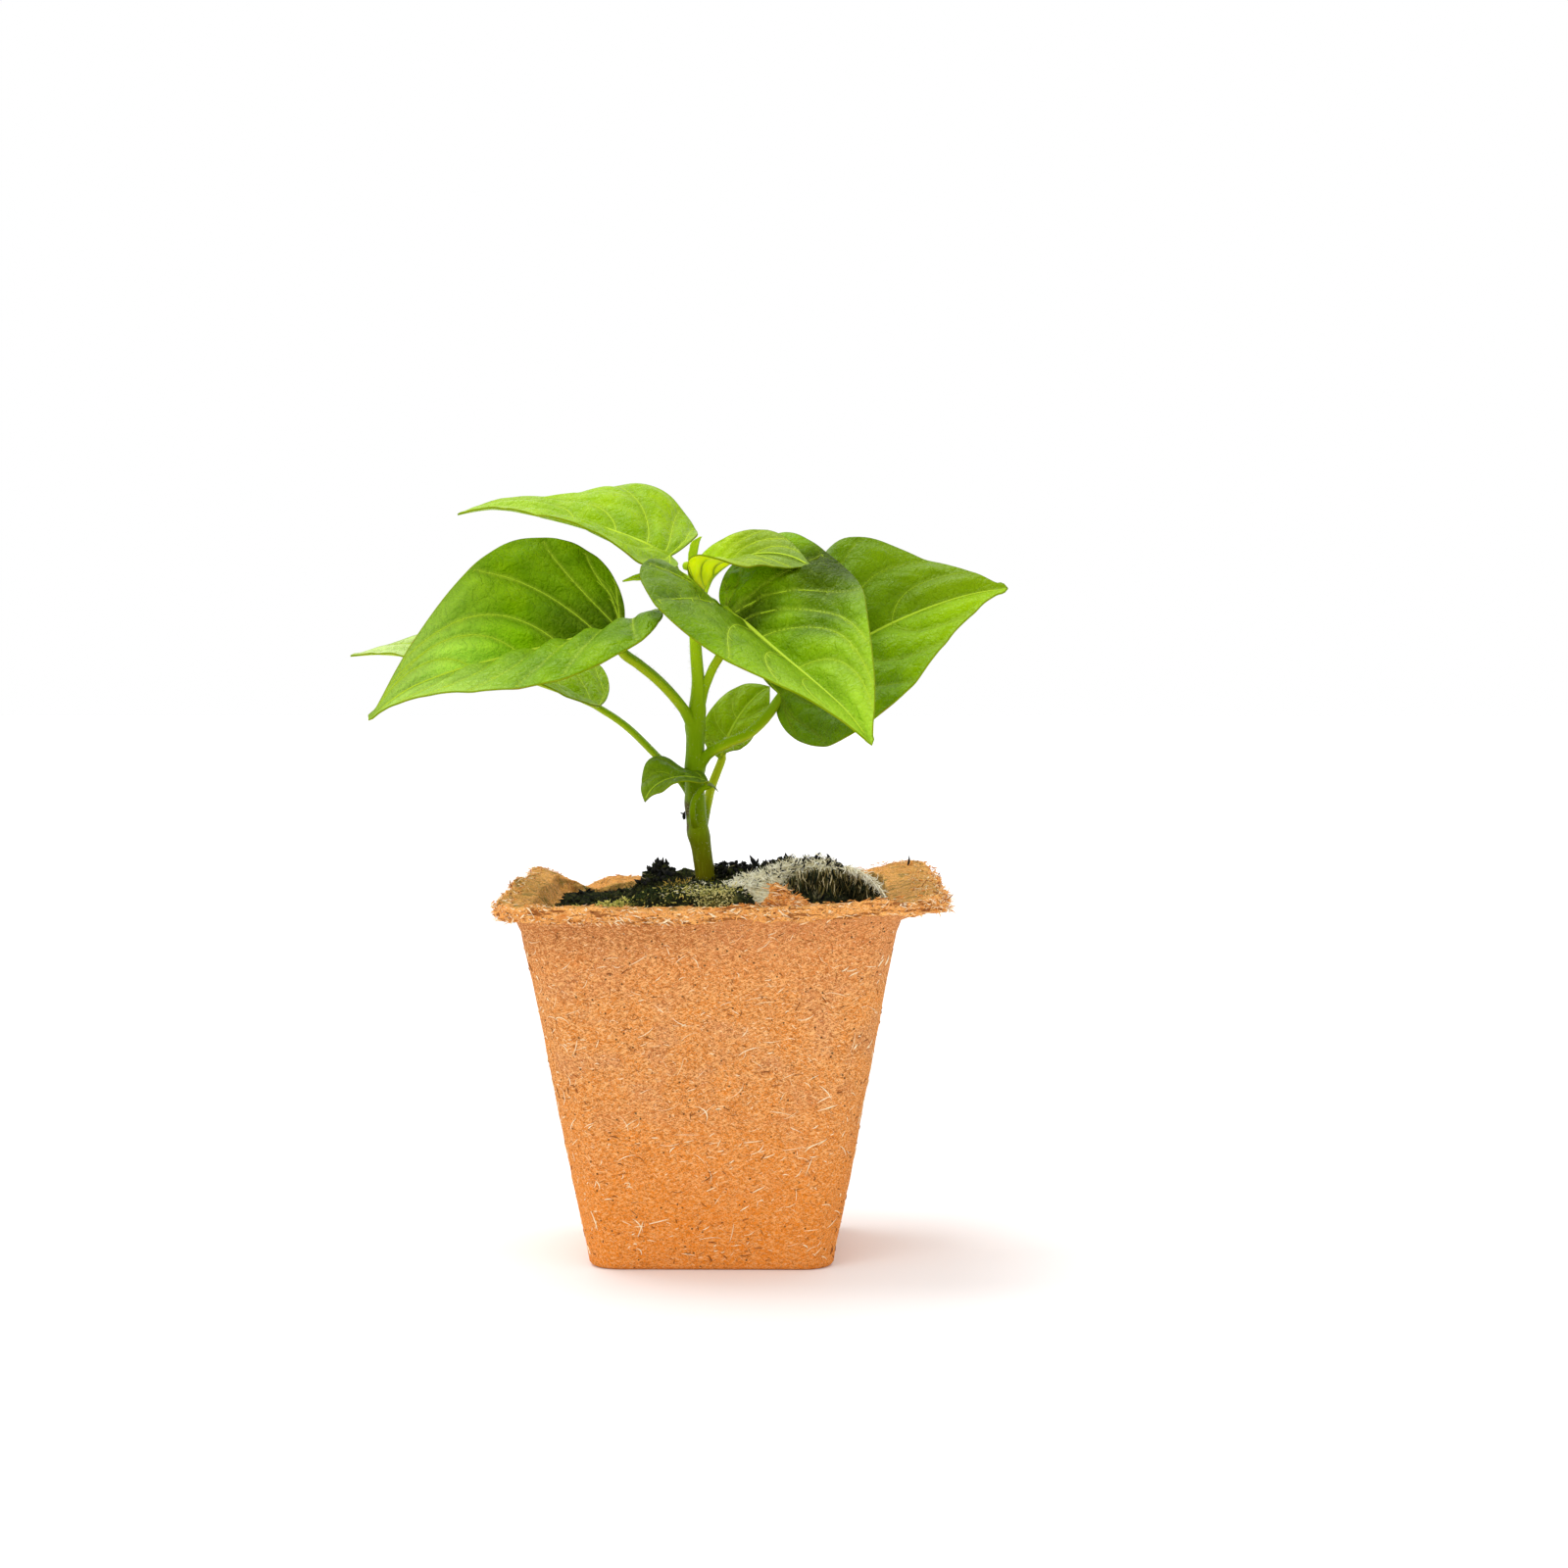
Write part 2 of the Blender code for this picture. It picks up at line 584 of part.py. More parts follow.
def make_growing_tip(parts, helpers, green):
    stations = [(in_metres(station[:3]), station[3] * MM) for station in TIP_STUB]
    tip = new_object("growing_tip", tube_mesh("growing_tip", stations, 2, 3), parts, green)
    for name, leaf in (("spike_leaf", SPIKE_LEAF), ("young_leaf", YOUNG_LEAF)):
        mesh = blade_mesh(name, leaf, SMALL_ROWS, SMALL_COLUMNS, 0)
        blade = hide_helper(new_object(name, mesh, helpers))
        add_thickness(blade)
        add_boolean(tip, blade, "UNION")
    bm = bmesh.new()
    bmesh.ops.create_icosphere(bm, subdivisions=2, radius=TIP_BUD["radius"] * MM)
    bmesh.ops.translate(bm, verts=bm.verts, vec=in_metres(TIP_BUD["place"]))
    bud_mesh = bpy.data.meshes.new("bud")
    bm.to_mesh(bud_mesh)
    bm.free()
    add_boolean(tip, hide_helper(new_object("bud", bud_mesh, helpers)), "UNION")
    shade(tip, 60)


def main():
    clear_scene()
    parts = make_collection(COLLECTION)
    helpers = make_collection("helpers")
    leaf_green = make_material("leaf", (0.16, 0.36, 0.035), 0.55)
    stem_green = make_material("stem", (0.20, 0.34, 0.03), 0.5)
    make_pot(parts)
    make_soil(parts, helpers)
    make_stem(parts, stem_green)
    room = tube_mesh("stem_room", stem_stations(CLEARANCE), 3, 3)
    stem_room = hide_helper(new_object("stem_room", room, helpers))
    for name, leaf in LEAVES.items():
        make_leaf(name, leaf, parts, helpers, leaf_green, stem_room)
    make_growing_tip(parts, helpers, leaf_green)


main()
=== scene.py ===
# Potted chilli pepper plant: the looks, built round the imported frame.
# Lengths are in millimetres and angles in degrees until a point goes into a mesh.
import random
from math import atan2, cos, degrees, dist, exp, hypot, pi, radians, sin, sqrt

import bmesh
import bpy
from mathutils import Matrix, Vector, noise
from mathutils.kdtree import KDTree


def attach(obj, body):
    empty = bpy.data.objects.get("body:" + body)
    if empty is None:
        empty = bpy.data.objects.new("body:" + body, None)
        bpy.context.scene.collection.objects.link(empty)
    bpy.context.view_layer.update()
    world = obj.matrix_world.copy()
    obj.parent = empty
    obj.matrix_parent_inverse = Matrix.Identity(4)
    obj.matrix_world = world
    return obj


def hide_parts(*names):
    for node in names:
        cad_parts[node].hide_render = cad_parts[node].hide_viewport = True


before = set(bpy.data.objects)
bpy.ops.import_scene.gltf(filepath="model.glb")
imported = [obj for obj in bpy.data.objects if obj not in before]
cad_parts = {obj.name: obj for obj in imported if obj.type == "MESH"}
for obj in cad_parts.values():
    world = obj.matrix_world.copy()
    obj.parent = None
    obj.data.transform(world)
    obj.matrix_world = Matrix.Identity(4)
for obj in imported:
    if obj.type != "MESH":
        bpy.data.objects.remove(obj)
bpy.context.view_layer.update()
mm = 0.001
body = "root"


# Small helpers

def smoothStep(low, high, value):
    share = min(max((value - low) / (high - low), 0), 1)
    return share * share * (3 - 2 * share)


def between(low, high, share):
    return low + (high - low) * share


def noiseAt(x, y, z, size):
    return noise.noise(Vector((x, y, z)) / size)


def meshOf(name, bm):
    mesh = bpy.data.meshes.new(name)
    bm.to_mesh(mesh)
    bm.free()
    return mesh


def linked(name, data):
    thing = bpy.data.objects.new(name, data)
    bpy.context.scene.collection.objects.link(thing)
    return thing


def finishPiece(name, bm, materials, nodes=(), smooth=True):
    # Puts a bmesh into the scene as one piece that rides with the plant
    mesh = meshOf(name, bm)
    for material in materials:
        mesh.materials.append(material)
    if smooth:
        mesh.shade_smooth()
    piece = linked(name, mesh)
    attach(piece, body)
    if nodes:
        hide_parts(*nodes)
    return piece


# Materials

def withAlpha(colour):
    return colour if isinstance(colour, bpy.types.NodeSocket) else (*colour, 1)


class Surface:
    # One material in the making: its nodes, its shader and the colour so far

    def __init__(self, name, **sockets):
        # Values that are the same all over go straight on the shader
        self.material = bpy.data.materials.new(name)
        self.material.use_nodes = True
        self.tree = self.material.node_tree
        self.shader = self.tree.nodes["Principled BSDF"]
        for socket, value in sockets.items():
            self.shader.inputs[socket.replace("_", " ")].default_value = value
        self.coords = self.mapped()

    def add(self, kind, inputs, output, **settings):
        node = self.tree.nodes.new("ShaderNode" + kind)
        for name, value in settings.items():
            setattr(node, name, value)
        for name, value in inputs.items():
            if isinstance(value, bpy.types.NodeSocket):
                self.tree.links.new(value, node.inputs[name])
            else:
                node.inputs[name].default_value = value
        return node.outputs[output]

    def mapped(self, stretch=(1, 1, 1), turn=(0, 0, 0), coords=None):
        # A Mapping of kind TEXTURE turns first and stretches after
        coords = coords or self.add("TexCoord", {}, "Object")
        turned = [radians(angle) for angle in turn]
        inputs = {"Vector": coords, "Rotation": turned, "Scale": stretch}
        return self.add("Mapping", inputs, "Vector", vector_type="TEXTURE")

    def attribute(self, name):
        return self.add("Attribute", {}, "Fac", attribute_name=name)

    def axes(self, vector):
        return [self.add("SeparateXYZ", {"Vector": vector}, axis) for axis in "XYZ"]

    def noise(self, size, detail=3, rough=0.55, coords=None):
        # size is the width of one patch in millimetres
        inputs = {"Vector": coords or self.coords, "Scale": 1 / (size * mm)}
        return self.add("TexNoise", dict(inputs, Detail=detail, Roughness=rough), "Fac")

    def cells(self, size, feature="F1", coords=None):
        inputs = {"Vector": coords or self.coords, "Scale": 1 / (size * mm)}
        return self.add("TexVoronoi", inputs, "Distance", feature=feature)

    def mask(self, value, low, high, least=0, most=1):
        inputs = {"Value": value, "From Min": low, "From Max": high, "To Min": least, "To Max": most}
        return self.add("MapRange", inputs, "Result", interpolation_type="SMOOTHSTEP")

    def maths(self, operation, first, second=0.0):
        return self.add("Math", {0: first, 1: second}, 0, operation=operation)

    def times(self, first, *others):
        for other in others:
            first = self.maths("MULTIPLY", first, other)
        return first

    def plus(self, first, *others):
        for other in others:
            first = self.maths("ADD", first, other)
        return first

    def vector(self, operation, first, second, output="Vector"):
        inputs = {0: first, "Scale" if operation == "SCALE" else 1: second}
        return self.add("VectorMath", inputs, output, operation=operation)

    def blend(self, factor, first, second):
        return self.add("Mix", {0: factor, 2: first, 3: second}, 0)

    def mix(self, factor, first, second):
        inputs = {0: factor, 6: withAlpha(first), 7: withAlpha(second)}
        return self.add("Mix", inputs, 2, data_type="RGBA")

    def start(self, value, stops):
        # The first colour runs through stops of place and tint
        ramp = self.tree.nodes.new("ShaderNodeValToRGB")
        self.tree.links.new(value, ramp.inputs["Fac"])
        elements = ramp.color_ramp.elements
        while len(elements) < len(stops):
            elements.new(0.5)
        for element, (place, colour) in zip(elements, stops):
            element.position = place
            element.color = (*colour, 1)
        self.colour = ramp.outputs["Color"]

    def lay(self, tint, factor):
        self.colour = self.mix(factor, self.colour, tint)

    def over(self, tint, value, low, high, most=1):
        # Lays a tint over the colour where a value goes from low to high
        self.lay(tint, self.mask(value, low, high, 0, most))

    def done(self, relief, strength, depth, roughness=None):
        # depth is the height of the relief in millimetres
        inputs = {"Height": relief, "Strength": strength, "Distance": depth * mm}
        bump = self.add("Bump", inputs, "Normal")
        ends = {"Base Color": self.colour, "Normal": bump, "Roughness": roughness}
        for name, socket in ends.items():
            if socket:
                self.tree.links.new(socket, self.shader.inputs[name])
        return self.material


# Tubes: stem, petioles, veins, fibres and hairs are one rolled grid along a path

tubeTemplates = {}
scratchMesh = bpy.data.meshes.new("scratch")


def tubeTemplate(sides, segments):
    # x and y are round the tube, z is the number of the ring, and both ends are closed
    if (sides, segments) not in tubeTemplates:
        bm = bmesh.new()
        rows = segments + 2
        bmesh.ops.create_grid(bm, x_segments=sides, y_segments=rows, size=1)
        for vert in bm.verts:
            turn = pi * (vert.co.x + 1)
            row = round((vert.co.y + 1) / 2 * rows)
            wide = 0 if row in (0, rows) else 1
            ring = min(max(row - 1, 0), segments)
            vert.co = (wide * cos(turn), wide * sin(turn), ring)
            if wide == 0:
                vert.co.z += 0.001 if row == 0 else -0.001
        bmesh.ops.remove_doubles(bm, verts=bm.verts, dist=1e-4)
        bmesh.ops.recalc_face_normals(bm, faces=bm.faces)
        tubeTemplates[sides, segments] = meshOf("tube", bm)
    return tubeTemplates[sides, segments]


def pathFrames(path, up):
    # Side and up at each point, turned as little as the path allows
    frames = []
    for index in range(len(path)):
        along = (path[min(index + 1, len(path) - 1)] - path[max(index - 1, 0)]).normalized()
        up = up - along * up.dot(along)
        if up.length < 1e-4:
            up = along.orthogonal()
        up = up.normalized()
        frames.append((up.cross(along), up))
    return frames


def addShape(bm, shape, place, material=0):
    # Adds a copy of a small mesh, its points moved by place
    small = bmesh.new()
    small.from_mesh(shape)
    for vert in small.verts:
        vert.co = place(vert.co) * mm
    for face in small.faces:
        face.material_index = material
    small.to_mesh(scratchMesh)
    small.free()
    bm.from_mesh(scratchMesh)


def flatSection(flat):
    # Reach of a flattened tube's surface by the way round
    return lambda way: flat + (1 - flat) * abs(cos(radians(way)))


def sweepTube(bm, path, radii, sides, up=(0, 0, 1), section=None, material=0):
    frames = pathFrames(path, Vector(up))

    def place(point):
        ring = round(point.z)
        side, top = frames[ring]
        reach = radii[ring]
        if section:
            reach *= section(degrees(atan2(point.y, point.x)))
        return path[ring] + side * point.x * reach + top * point.y * reach

    addShape(bm, tubeTemplate(sides, len(path) - 1), place, material)


def smoothPath(points, perSpan):
    # A Catmull-Rom curve through the points
    points = [Vector(point) for point in points]
    ends = [points[0] * 2 - points[1]] + points + [points[-1] * 2 - points[-2]]
    path = []
    for a, b, c, d in zip(ends, ends[1:], ends[2:], ends[3:]):
        for step in range(perSpan):
            t = step / perSpan
            path.append(
                (b * 2 + (c - a) * t + (a * 2 - b * 5 + c * 4 - d) * t * t
                 + (b * 3 - a - c * 3 + d) * t * t * t) / 2
            )
    return path + [points[-1]]


def spread(values, count):
    # Reads a short list of values evenly at count places
    last = len(values) - 1
    result = []
    for step in range(count):
        place = last * step / (count - 1)
        low = min(int(place), last - 1)
        result.append(between(values[low], values[low + 1], place - low))
    return result


# Camera, floor and light

view = {
    "lens": 69.175, "sensor": 36, "place": (0.023634, -0.672101, 0.132274),
    "pitch": -0.042, "turn": 0.012,
}
studio = {
    "floorSize": 12.0,
    "floorColour": (0.93, 0.93, 0.93, 1),
    "worldColour": (1.0, 1.0, 1.0, 1),
    "worldStrength": 1.0,
    # Where each soft light stands, how wide it spreads in degrees, and its strength
    "lights": (
        ("topLight", (-0.35, 0.25, 1.0), 40, 1.3),
        ("frontLight", (-0.6, -1.0, 0.7), 30, 0.5),
    ),
}


def setCamera():
    data = bpy.data.cameras.new("camera")
    data.lens = view["lens"]
    data.sensor_width = view["sensor"]
    camera = linked("camera", data)
    camera.location = view["place"]
    camera.rotation_euler = (pi / 2 + view["pitch"], 0, view["turn"])
    bpy.context.scene.camera = camera


def setStudio():
    bm = bmesh.new()
    bmesh.ops.create_grid(bm, x_segments=1, y_segments=1, size=studio["floorSize"] / 2)
    floor = linked("floor", meshOf("floor", bm))
    skin = Surface("floorPaint", Roughness=0.6, Specular_IOR_Level=0.2, Base_Color=studio["floorColour"])
    floor.data.materials.append(skin.material)
    world = bpy.data.worlds.new("studio")
    world.use_nodes = True
    background = world.node_tree.nodes["Background"]
    background.inputs["Color"].default_value = studio["worldColour"]
    background.inputs["Strength"].default_value = studio["worldStrength"]
    bpy.context.scene.world = world
    for name, place, wide, strength in studio["lights"]:
        data = bpy.data.lights.new(name, "SUN")
        data.angle = radians(wide)
        data.energy = strength
        light = linked(name, data)
        light.location = place
        light.rotation_euler = (-Vector(place)).to_track_quat("-Z", "Y").to_euler()
    bpy.context.scene.view_settings.view_transform = "Standard"


setCamera()
setStudio()
print("camera and studio set")


# Pot: pressed wood and coir fibre. The sizes are the frame's own

pot = {
    "height": 80, "base": 53, "top": 82, "corner": 7, "wall": 2, "floor": 2.5, "baseEdge": 0.9,
    "lip": 3.0, "lipRoot": 3, "innerDrop": 0.8,
    "over": {"left": 4.6, "right": 10.2, "front": 6.3, "back": 6.6},
    "ragged": 0.7,
    # Direction seen from above, lift and half the spread of each curled place
    "curls": (
        (175, 2.3, 30), (139, 2.0, 7), (127.5, -3.2, 3.5),
        (47, 3.2, 8), (5, 1.9, 40), (-42, 1.7, 20),
    ),
    "crowding": 0.1,
    "sides": 520, "wallRows": 38, "lipRows": 9, "insideRows": 8,
    # Unevenness of the walls: patch size and depth
    "relief": ((14, 0.30), (4.5, 0.16), (1.6, 0.13)),
    "lipRelief": ((6, 0.8), (2.6, 0.6), (1.2, 0.5)),
}
lipFoot = pot["height"] - pot["lip"]
innerFoot = lipFoot - 1  # where the lip's curve ends inside


def squareReach(angle, half, corner):
    # Distance from the axis to a rounded square's edge
    across, away = abs(cos(angle)), abs(sin(angle))
    flat = half / max(across, away)
    middle = half - corner
    if flat * min(across, away) <= middle:
        return flat
    near = middle * (across + away)
    return near + sqrt(corner * corner - 2 * middle * middle + near * near)


def ringAngle(share):
    return 2 * pi * share + pot["crowding"] * sin(8 * pi * share)


def outerHalf(height):
    return (pot["base"] + (pot["top"] - pot["base"]) * height / pot["height"]) / 2


def lipLift(angle):
    way = degrees(angle) % 360
    return sum(
        lift * exp(-(((way - place + 180) % 360 - 180) / wide) ** 2)
        for place, lift, wide in pot["curls"]
    )


def potRows():
    # Half width, height, corner radius, how far out on the lip, share of the lip's curl
    corner, wall, foot, lip = pot["corner"], pot["wall"], pot["baseEdge"], pot["lipRows"]
    inside = corner - wall
    bottomHalf = pot["base"] / 2 - foot
    rows = [(0, 0, 0, 0, 0)]
    rows += [(bottomHalf * step / 6, 0, corner * step / 8, 0, 0) for step in range(1, 6)]
    rows += [(bottomHalf, 0, corner - foot, 0, 0), (outerHalf(0.3) - 0.35, 0.3, corner - 0.4, 0, 0)]
    top = lipFoot - pot["lipRoot"]
    for step in range(pot["wallRows"] + 1):
        height = between(foot, top, step / pot["wallRows"])
        rows.append((outerHalf(height), height, corner, 0, 0))
    side = outerHalf(lipFoot)
    keys = [
        (outerHalf(top), top, corner, 0, 0),
        (side + 0.5, lipFoot - 0.7, corner, 0, 0.2),
        (side, lipFoot, corner, 0.35, 0.5),
        (side, lipFoot, corner, 0.93, 1),
        (side, lipFoot + pot["lip"] * 0.5, corner, 1, 1),
        (side, pot["height"], corner, 0.90, 1),
        (side, pot["height"], corner, 0.35, 0.7),
        (side - wall, pot["height"] - pot["innerDrop"], inside, 0, 0.6),
        (outerHalf(innerFoot) - wall, innerFoot, inside, 0, 0),
    ]
    for low, high in zip(keys, keys[1:]):
        rows += [tuple(between(a, b, step / lip) for a, b in zip(low, high)) for step in range(1, lip + 1)]
    for step in range(1, pot["insideRows"] + 1):
        height = between(innerFoot, pot["floor"] + 2, step / pot["insideRows"])
        rows.append((outerHalf(height) - wall, height, inside, 0, 0))
    rows.append((outerHalf(pot["floor"]) - wall - 1.5, pot["floor"], inside - 1, 0, 0))
    rows.append((0, pot["floor"], 0, 0, 0))
    return rows


def potPoint(row, share):
    half, height, corner, out, curl = row
    if half == 0:
        return Vector((0, 0, height))
    angle = ringAngle(share)
    reach = squareReach(angle, half, corner)
    across, beyond = cos(angle), sin(angle)
    bumps = sum(deep * noiseAt(reach * across, reach * beyond, height, size) for size, deep in pot["relief"])
    # The foot stays flat, and the wall stays clear of the soil inside
    bumps *= smoothStep(0, 4, height)
    flatX = x = (reach + bumps) * across
    flatY = y = (reach + bumps) * beyond
    if curl == 0:
        return Vector((x, y, height))
    torn = pot["ragged"] * noiseAt(x, y, 0, 5) * out
    x *= 1 + (out * pot["over"]["right" if flatX > 0 else "left"] + torn) / half
    y *= 1 + (out * pot["over"]["back" if flatY > 0 else "front"] + torn) / half
    lift = curl * lipLift(angle) + pot["ragged"] * noiseAt(x, y, 40, 7) * out
    for size, deep in pot["lipRelief"]:
        away = deep * noiseAt(flatX, flatY, height * 1.4 + out * 6, size) * smoothStep(0.5, 1, out)
        x += away * across
        y += away * beyond
        lift += 0.5 * deep * noiseAt(x, y, 90 + height, size) * smoothStep(0, 0.4, curl)
    return Vector((x, y, height + lift))


def potZones(rows):
    # 0 on the wall, 1 on the lip's edge, 2 on its top and 3 inside
    outs = [row[3] for row in rows]
    edge = [index for index, out in enumerate(outs) if out >= 0.9]
    inner = max(index for index, out in enumerate(outs) if out > 0)
    return [(index >= edge[0]) + (index > edge[-1]) + (index > inner) for index in range(len(rows))]


def loftPiece(rows, sides, place, zones=None):
    # A grid rolled up round the Z axis, whose first and last rows close to points
    bm = bmesh.new()
    layer = bm.verts.layers.float.new("zone")
    bmesh.ops.create_grid(bm, x_segments=sides, y_segments=len(rows) - 1, size=1)
    for vert in bm.verts:
        share = (vert.co.x + 1) / 2
        index = round((vert.co.y + 1) / 2 * (len(rows) - 1))
        vert.co = place(rows[index], share % 1) * mm
        vert[layer] = zones[index] if zones else 0
    bmesh.ops.remove_doubles(bm, verts=bm.verts, dist=0.002 * mm)
    bmesh.ops.recalc_face_normals(bm, faces=bm.faces)
    return bm


fibreLook = {
    "body": (0.73, 0.250, 0.050), "pale": (0.95, 0.50, 0.19), "pink": (0.66, 0.240, 0.078),
    "brown": (0.30, 0.095, 0.022), "deep": (0.84, 0.245, 0.018), "cream": (1.0, 0.70, 0.40),
    "edge": (1.0, 0.47, 0.12), "top": (0.86, 0.37, 0.075), "tan": (0.72, 0.37, 0.07),
    "inside": (0.95, 0.55, 0.15), "stain": (0.25, 0.13, 0.04), "moss": (0.12, 0.13, 0.03),
    "speck": (0.05, 0.03, 0.015),
    # Strokes of pressed fibre: lean, width, length over width, tint, strength, and how rare
    "strokes": (
        (-66, 0.28, 4, "brown", 0.80, 0.53), (60, 0.26, 4, "brown", 0.65, 0.53),
        (20, 0.24, 4, "brown", 0.65, 0.53), (-72, 0.24, 6, "pale", 0.75, 0.53),
        (62, 0.25, 6, "pale", 0.85, 0.53), (-22, 0.22, 5, "pale", 0.65, 0.53),
        (10, 0.36, 2, "brown", 0.90, 0.645), (-50, 0.30, 5, "cream", 0.85, 0.66),
        (72, 0.30, 5, "cream", 0.85, 0.66),
    ),
}


def wallCoords(skin):
    # On the left and right walls x and y change places, so that a stroke leans alike on all four
    x, y, z = skin.axes(skin.coords)
    facing = [skin.maths("ABSOLUTE", axis) for axis in skin.axes(skin.add("NewGeometry", {}, "Normal"))]
    isSide = skin.maths("GREATER_THAN", facing[0], facing[1])
    turned = {"X": skin.blend(isSide, x, y), "Y": skin.blend(isSide, y, x), "Z": z}
    return skin.add("CombineXYZ", turned, "Vector")


def fibreMaterial():
    look = fibreLook
    skin = Surface("pressedFibre", Roughness=0.95, Specular_IOR_Level=0.1)
    x, y, height = skin.axes(skin.coords)
    zone = skin.attribute("zone")
    skin.start(skin.noise(7, 2, 0.5), ((0.36, look["pink"]), (0.5, look["body"]), (0.80, look["deep"])))
    grit = skin.noise(0.55, 3, 0.7)
    skin.over(look["pale"], grit, 0.50, 0.64, 0.40)
    skin.over(look["brown"], grit, 0.48, 0.38, 0.40)
    # Pinker under the lip and redder at the foot; the brown band just under the lip on the left is painted
    # shade under its overhang
    skin.over(look["pink"], height, 0.058, 0.074, 0.75)
    skin.over(look["deep"], height, 0.050, 0.004, 0.85)
    skin.lay(look["brown"], skin.times(skin.mask(height, 0.066, 0.073, 0, 0.28), skin.mask(x, 0.012, -0.012)))
    onEdge = skin.mask(zone, 0.2, 0.9)
    skin.lay(look["edge"], onEdge)
    flap = skin.mix(skin.mask(skin.maths("ABSOLUTE", x), 0.036, 0.042), look["top"], look["tan"])
    skin.over(flap, zone, 1.1, 1.8)
    # Inside the pot the wall is painted paler, as painted light against the shade there
    skin.over(look["inside"], zone, 2.1, 2.8)
    # Short slanted strokes of pale and brown fibre, pressed one over the other
    flat = wallCoords(skin)
    for lean, wide, stretch, tint, strength, rare in look["strokes"]:
        stroke = skin.noise(wide, 2, 0.6, skin.mapped((1, 1, stretch), (0, lean, 0), flat))
        skin.over(look[tint], stroke, rare, min(rare + 0.13, 0.70), strength)
    skin.over(look["deep"], height, 0.045, 0.004, 0.30)
    # Cracks between the layers that show at the torn edge
    layers = skin.noise(0.8, 3, 0.6, skin.mapped((6, 6, 1)))
    cracks = skin.times(skin.mask(layers, 0.53, 0.59, 0, 0.9), onEdge, skin.mask(zone, 1.1, 1.8, 1, 0.2))
    skin.lay(look["brown"], cracks)
    skin.over(look["speck"], skin.cells(2.3), 0.12, 0.08, 0.85)
    skin.over(look["brown"], skin.cells(1.0), 0.16, 0.08, 0.55)
    # Green and brown stains on the lip: tint, strength, size and how much is bare
    for tint, strength, stain, bare in (
        ("moss", 0.65, skin.noise(3.5, 4, 0.7), 0.64), ("stain", 0.4, skin.noise(1.6, 3, 0.6), 0.62),
    ):
        skin.lay(look[tint], skin.times(skin.mask(zone, 1.3, 2.0, 0, strength), skin.mask(stain, 0.50, bare)))
    return skin.done(skin.plus(skin.noise(0.45), skin.noise(1.3, 2), layers), 1.0, 0.45)


fibre = fibreMaterial()
shell = loftPiece(potRows(), pot["sides"], potPoint, potZones(potRows()))
finishPiece("potShell", shell, [fibre], ["pot"])
print("pot pressed")


# Soil

soil = {
    "clearance": 0.3, "level": 76.5, "rise": 5.5, "mound": 4.0, "trench": 7.0,
    "lumps": ((6.5, 1.3), (3.0, 0.5)),
    "climb": (-28, -5), "moundLeft": (5, 17), "moundFront": (-20, -12), "moundBack": (8, 36),
    "rightFall": (24, 41), "trenchLeft": (6, 14), "trenchBack": (-24, -17),
    "collar": 82, "collarReach": (4, 9), "foot": -2,
    "clump": {"x": -13, "y": 5, "radius": 4.5, "height": 4.5},
    "sides": 344, "rings": 122,
    # How far to the side and to the front tufts may stand
    "sideEnd": 36.5, "frontEnd": -37.6,
    # Fine crumbs of the surface: patch size and height
    "grain": ((1.7, 0.55), (0.8, 0.35)),
}


def soilTop(x, y):
    mound = smoothStep(*soil["moundLeft"], x) * smoothStep(*soil["moundFront"], y)
    mound *= 1 - 0.6 * smoothStep(*soil["moundBack"], y)
    rise = soil["rise"] * smoothStep(*soil["climb"], x) + soil["mound"] * mound
    height = soil["level"] + rise * (1 - smoothStep(*soil["rightFall"], x))
    inTrench = smoothStep(*soil["trenchLeft"], x) * (1 - smoothStep(*soil["trenchBack"], y))
    height -= soil["trench"] * inTrench
    clump = soil["clump"]
    height += clump["height"] * exp(-(hypot(x - clump["x"], y - clump["y"]) / clump["radius"]) ** 2)
    lumps = sum(deep * noiseAt(x, y, 0, size) for size, deep in soil["lumps"])
    nearStem = 1 - smoothStep(*soil["collarReach"], hypot(x - soil["foot"], y))
    return height * (1 - nearStem) + soil["collar"] * nearStem + lumps * (1 - nearStem)


def soilEdge(angle, height):
    gap = pot["wall"] + soil["clearance"]
    reach = squareReach(angle, outerHalf(height) - pot["wall"] - soil["clearance"], pot["corner"] - gap)
    return Vector((reach * cos(angle), reach * sin(angle), height))


def soilPoint(row, share):
    kind, along = row
    angle = ringAngle(share)
    if kind == "bottom":
        corner = pot["corner"] - pot["wall"] - soil["clearance"] - 1
        reach = squareReach(angle, outerHalf(pot["floor"]) - pot["wall"] - 2.2, corner) * along
        return Vector((reach * cos(angle), reach * sin(angle), pot["floor"] + soil["clearance"]))
    edge = soilEdge(angle, innerFoot)
    if kind == "side":
        top = min(innerFoot, soilTop(edge.x, edge.y) - 0.5)
        return soilEdge(angle, between(pot["floor"] + 2, top, along))
    x, y = edge.x * along, edge.y * along
    grain = sum(deep * noiseAt(x, y, 5, size) for size, deep in soil["grain"])
    # The grain's peaks are sharpened, so that it looks crumbled
    grain += 0.5 * abs(noiseAt(x, y, 9, 1.2))
    return Vector((x, y, soilTop(x, y) + grain * smoothStep(1, 0.97, along)))


def soilRows():
    rows = [("bottom", 0), ("bottom", 1)] + [("side", step / 4) for step in range(5)]
    return rows + [("top", 1 - step / soil["rings"]) for step in range(1, soil["rings"] + 1)]


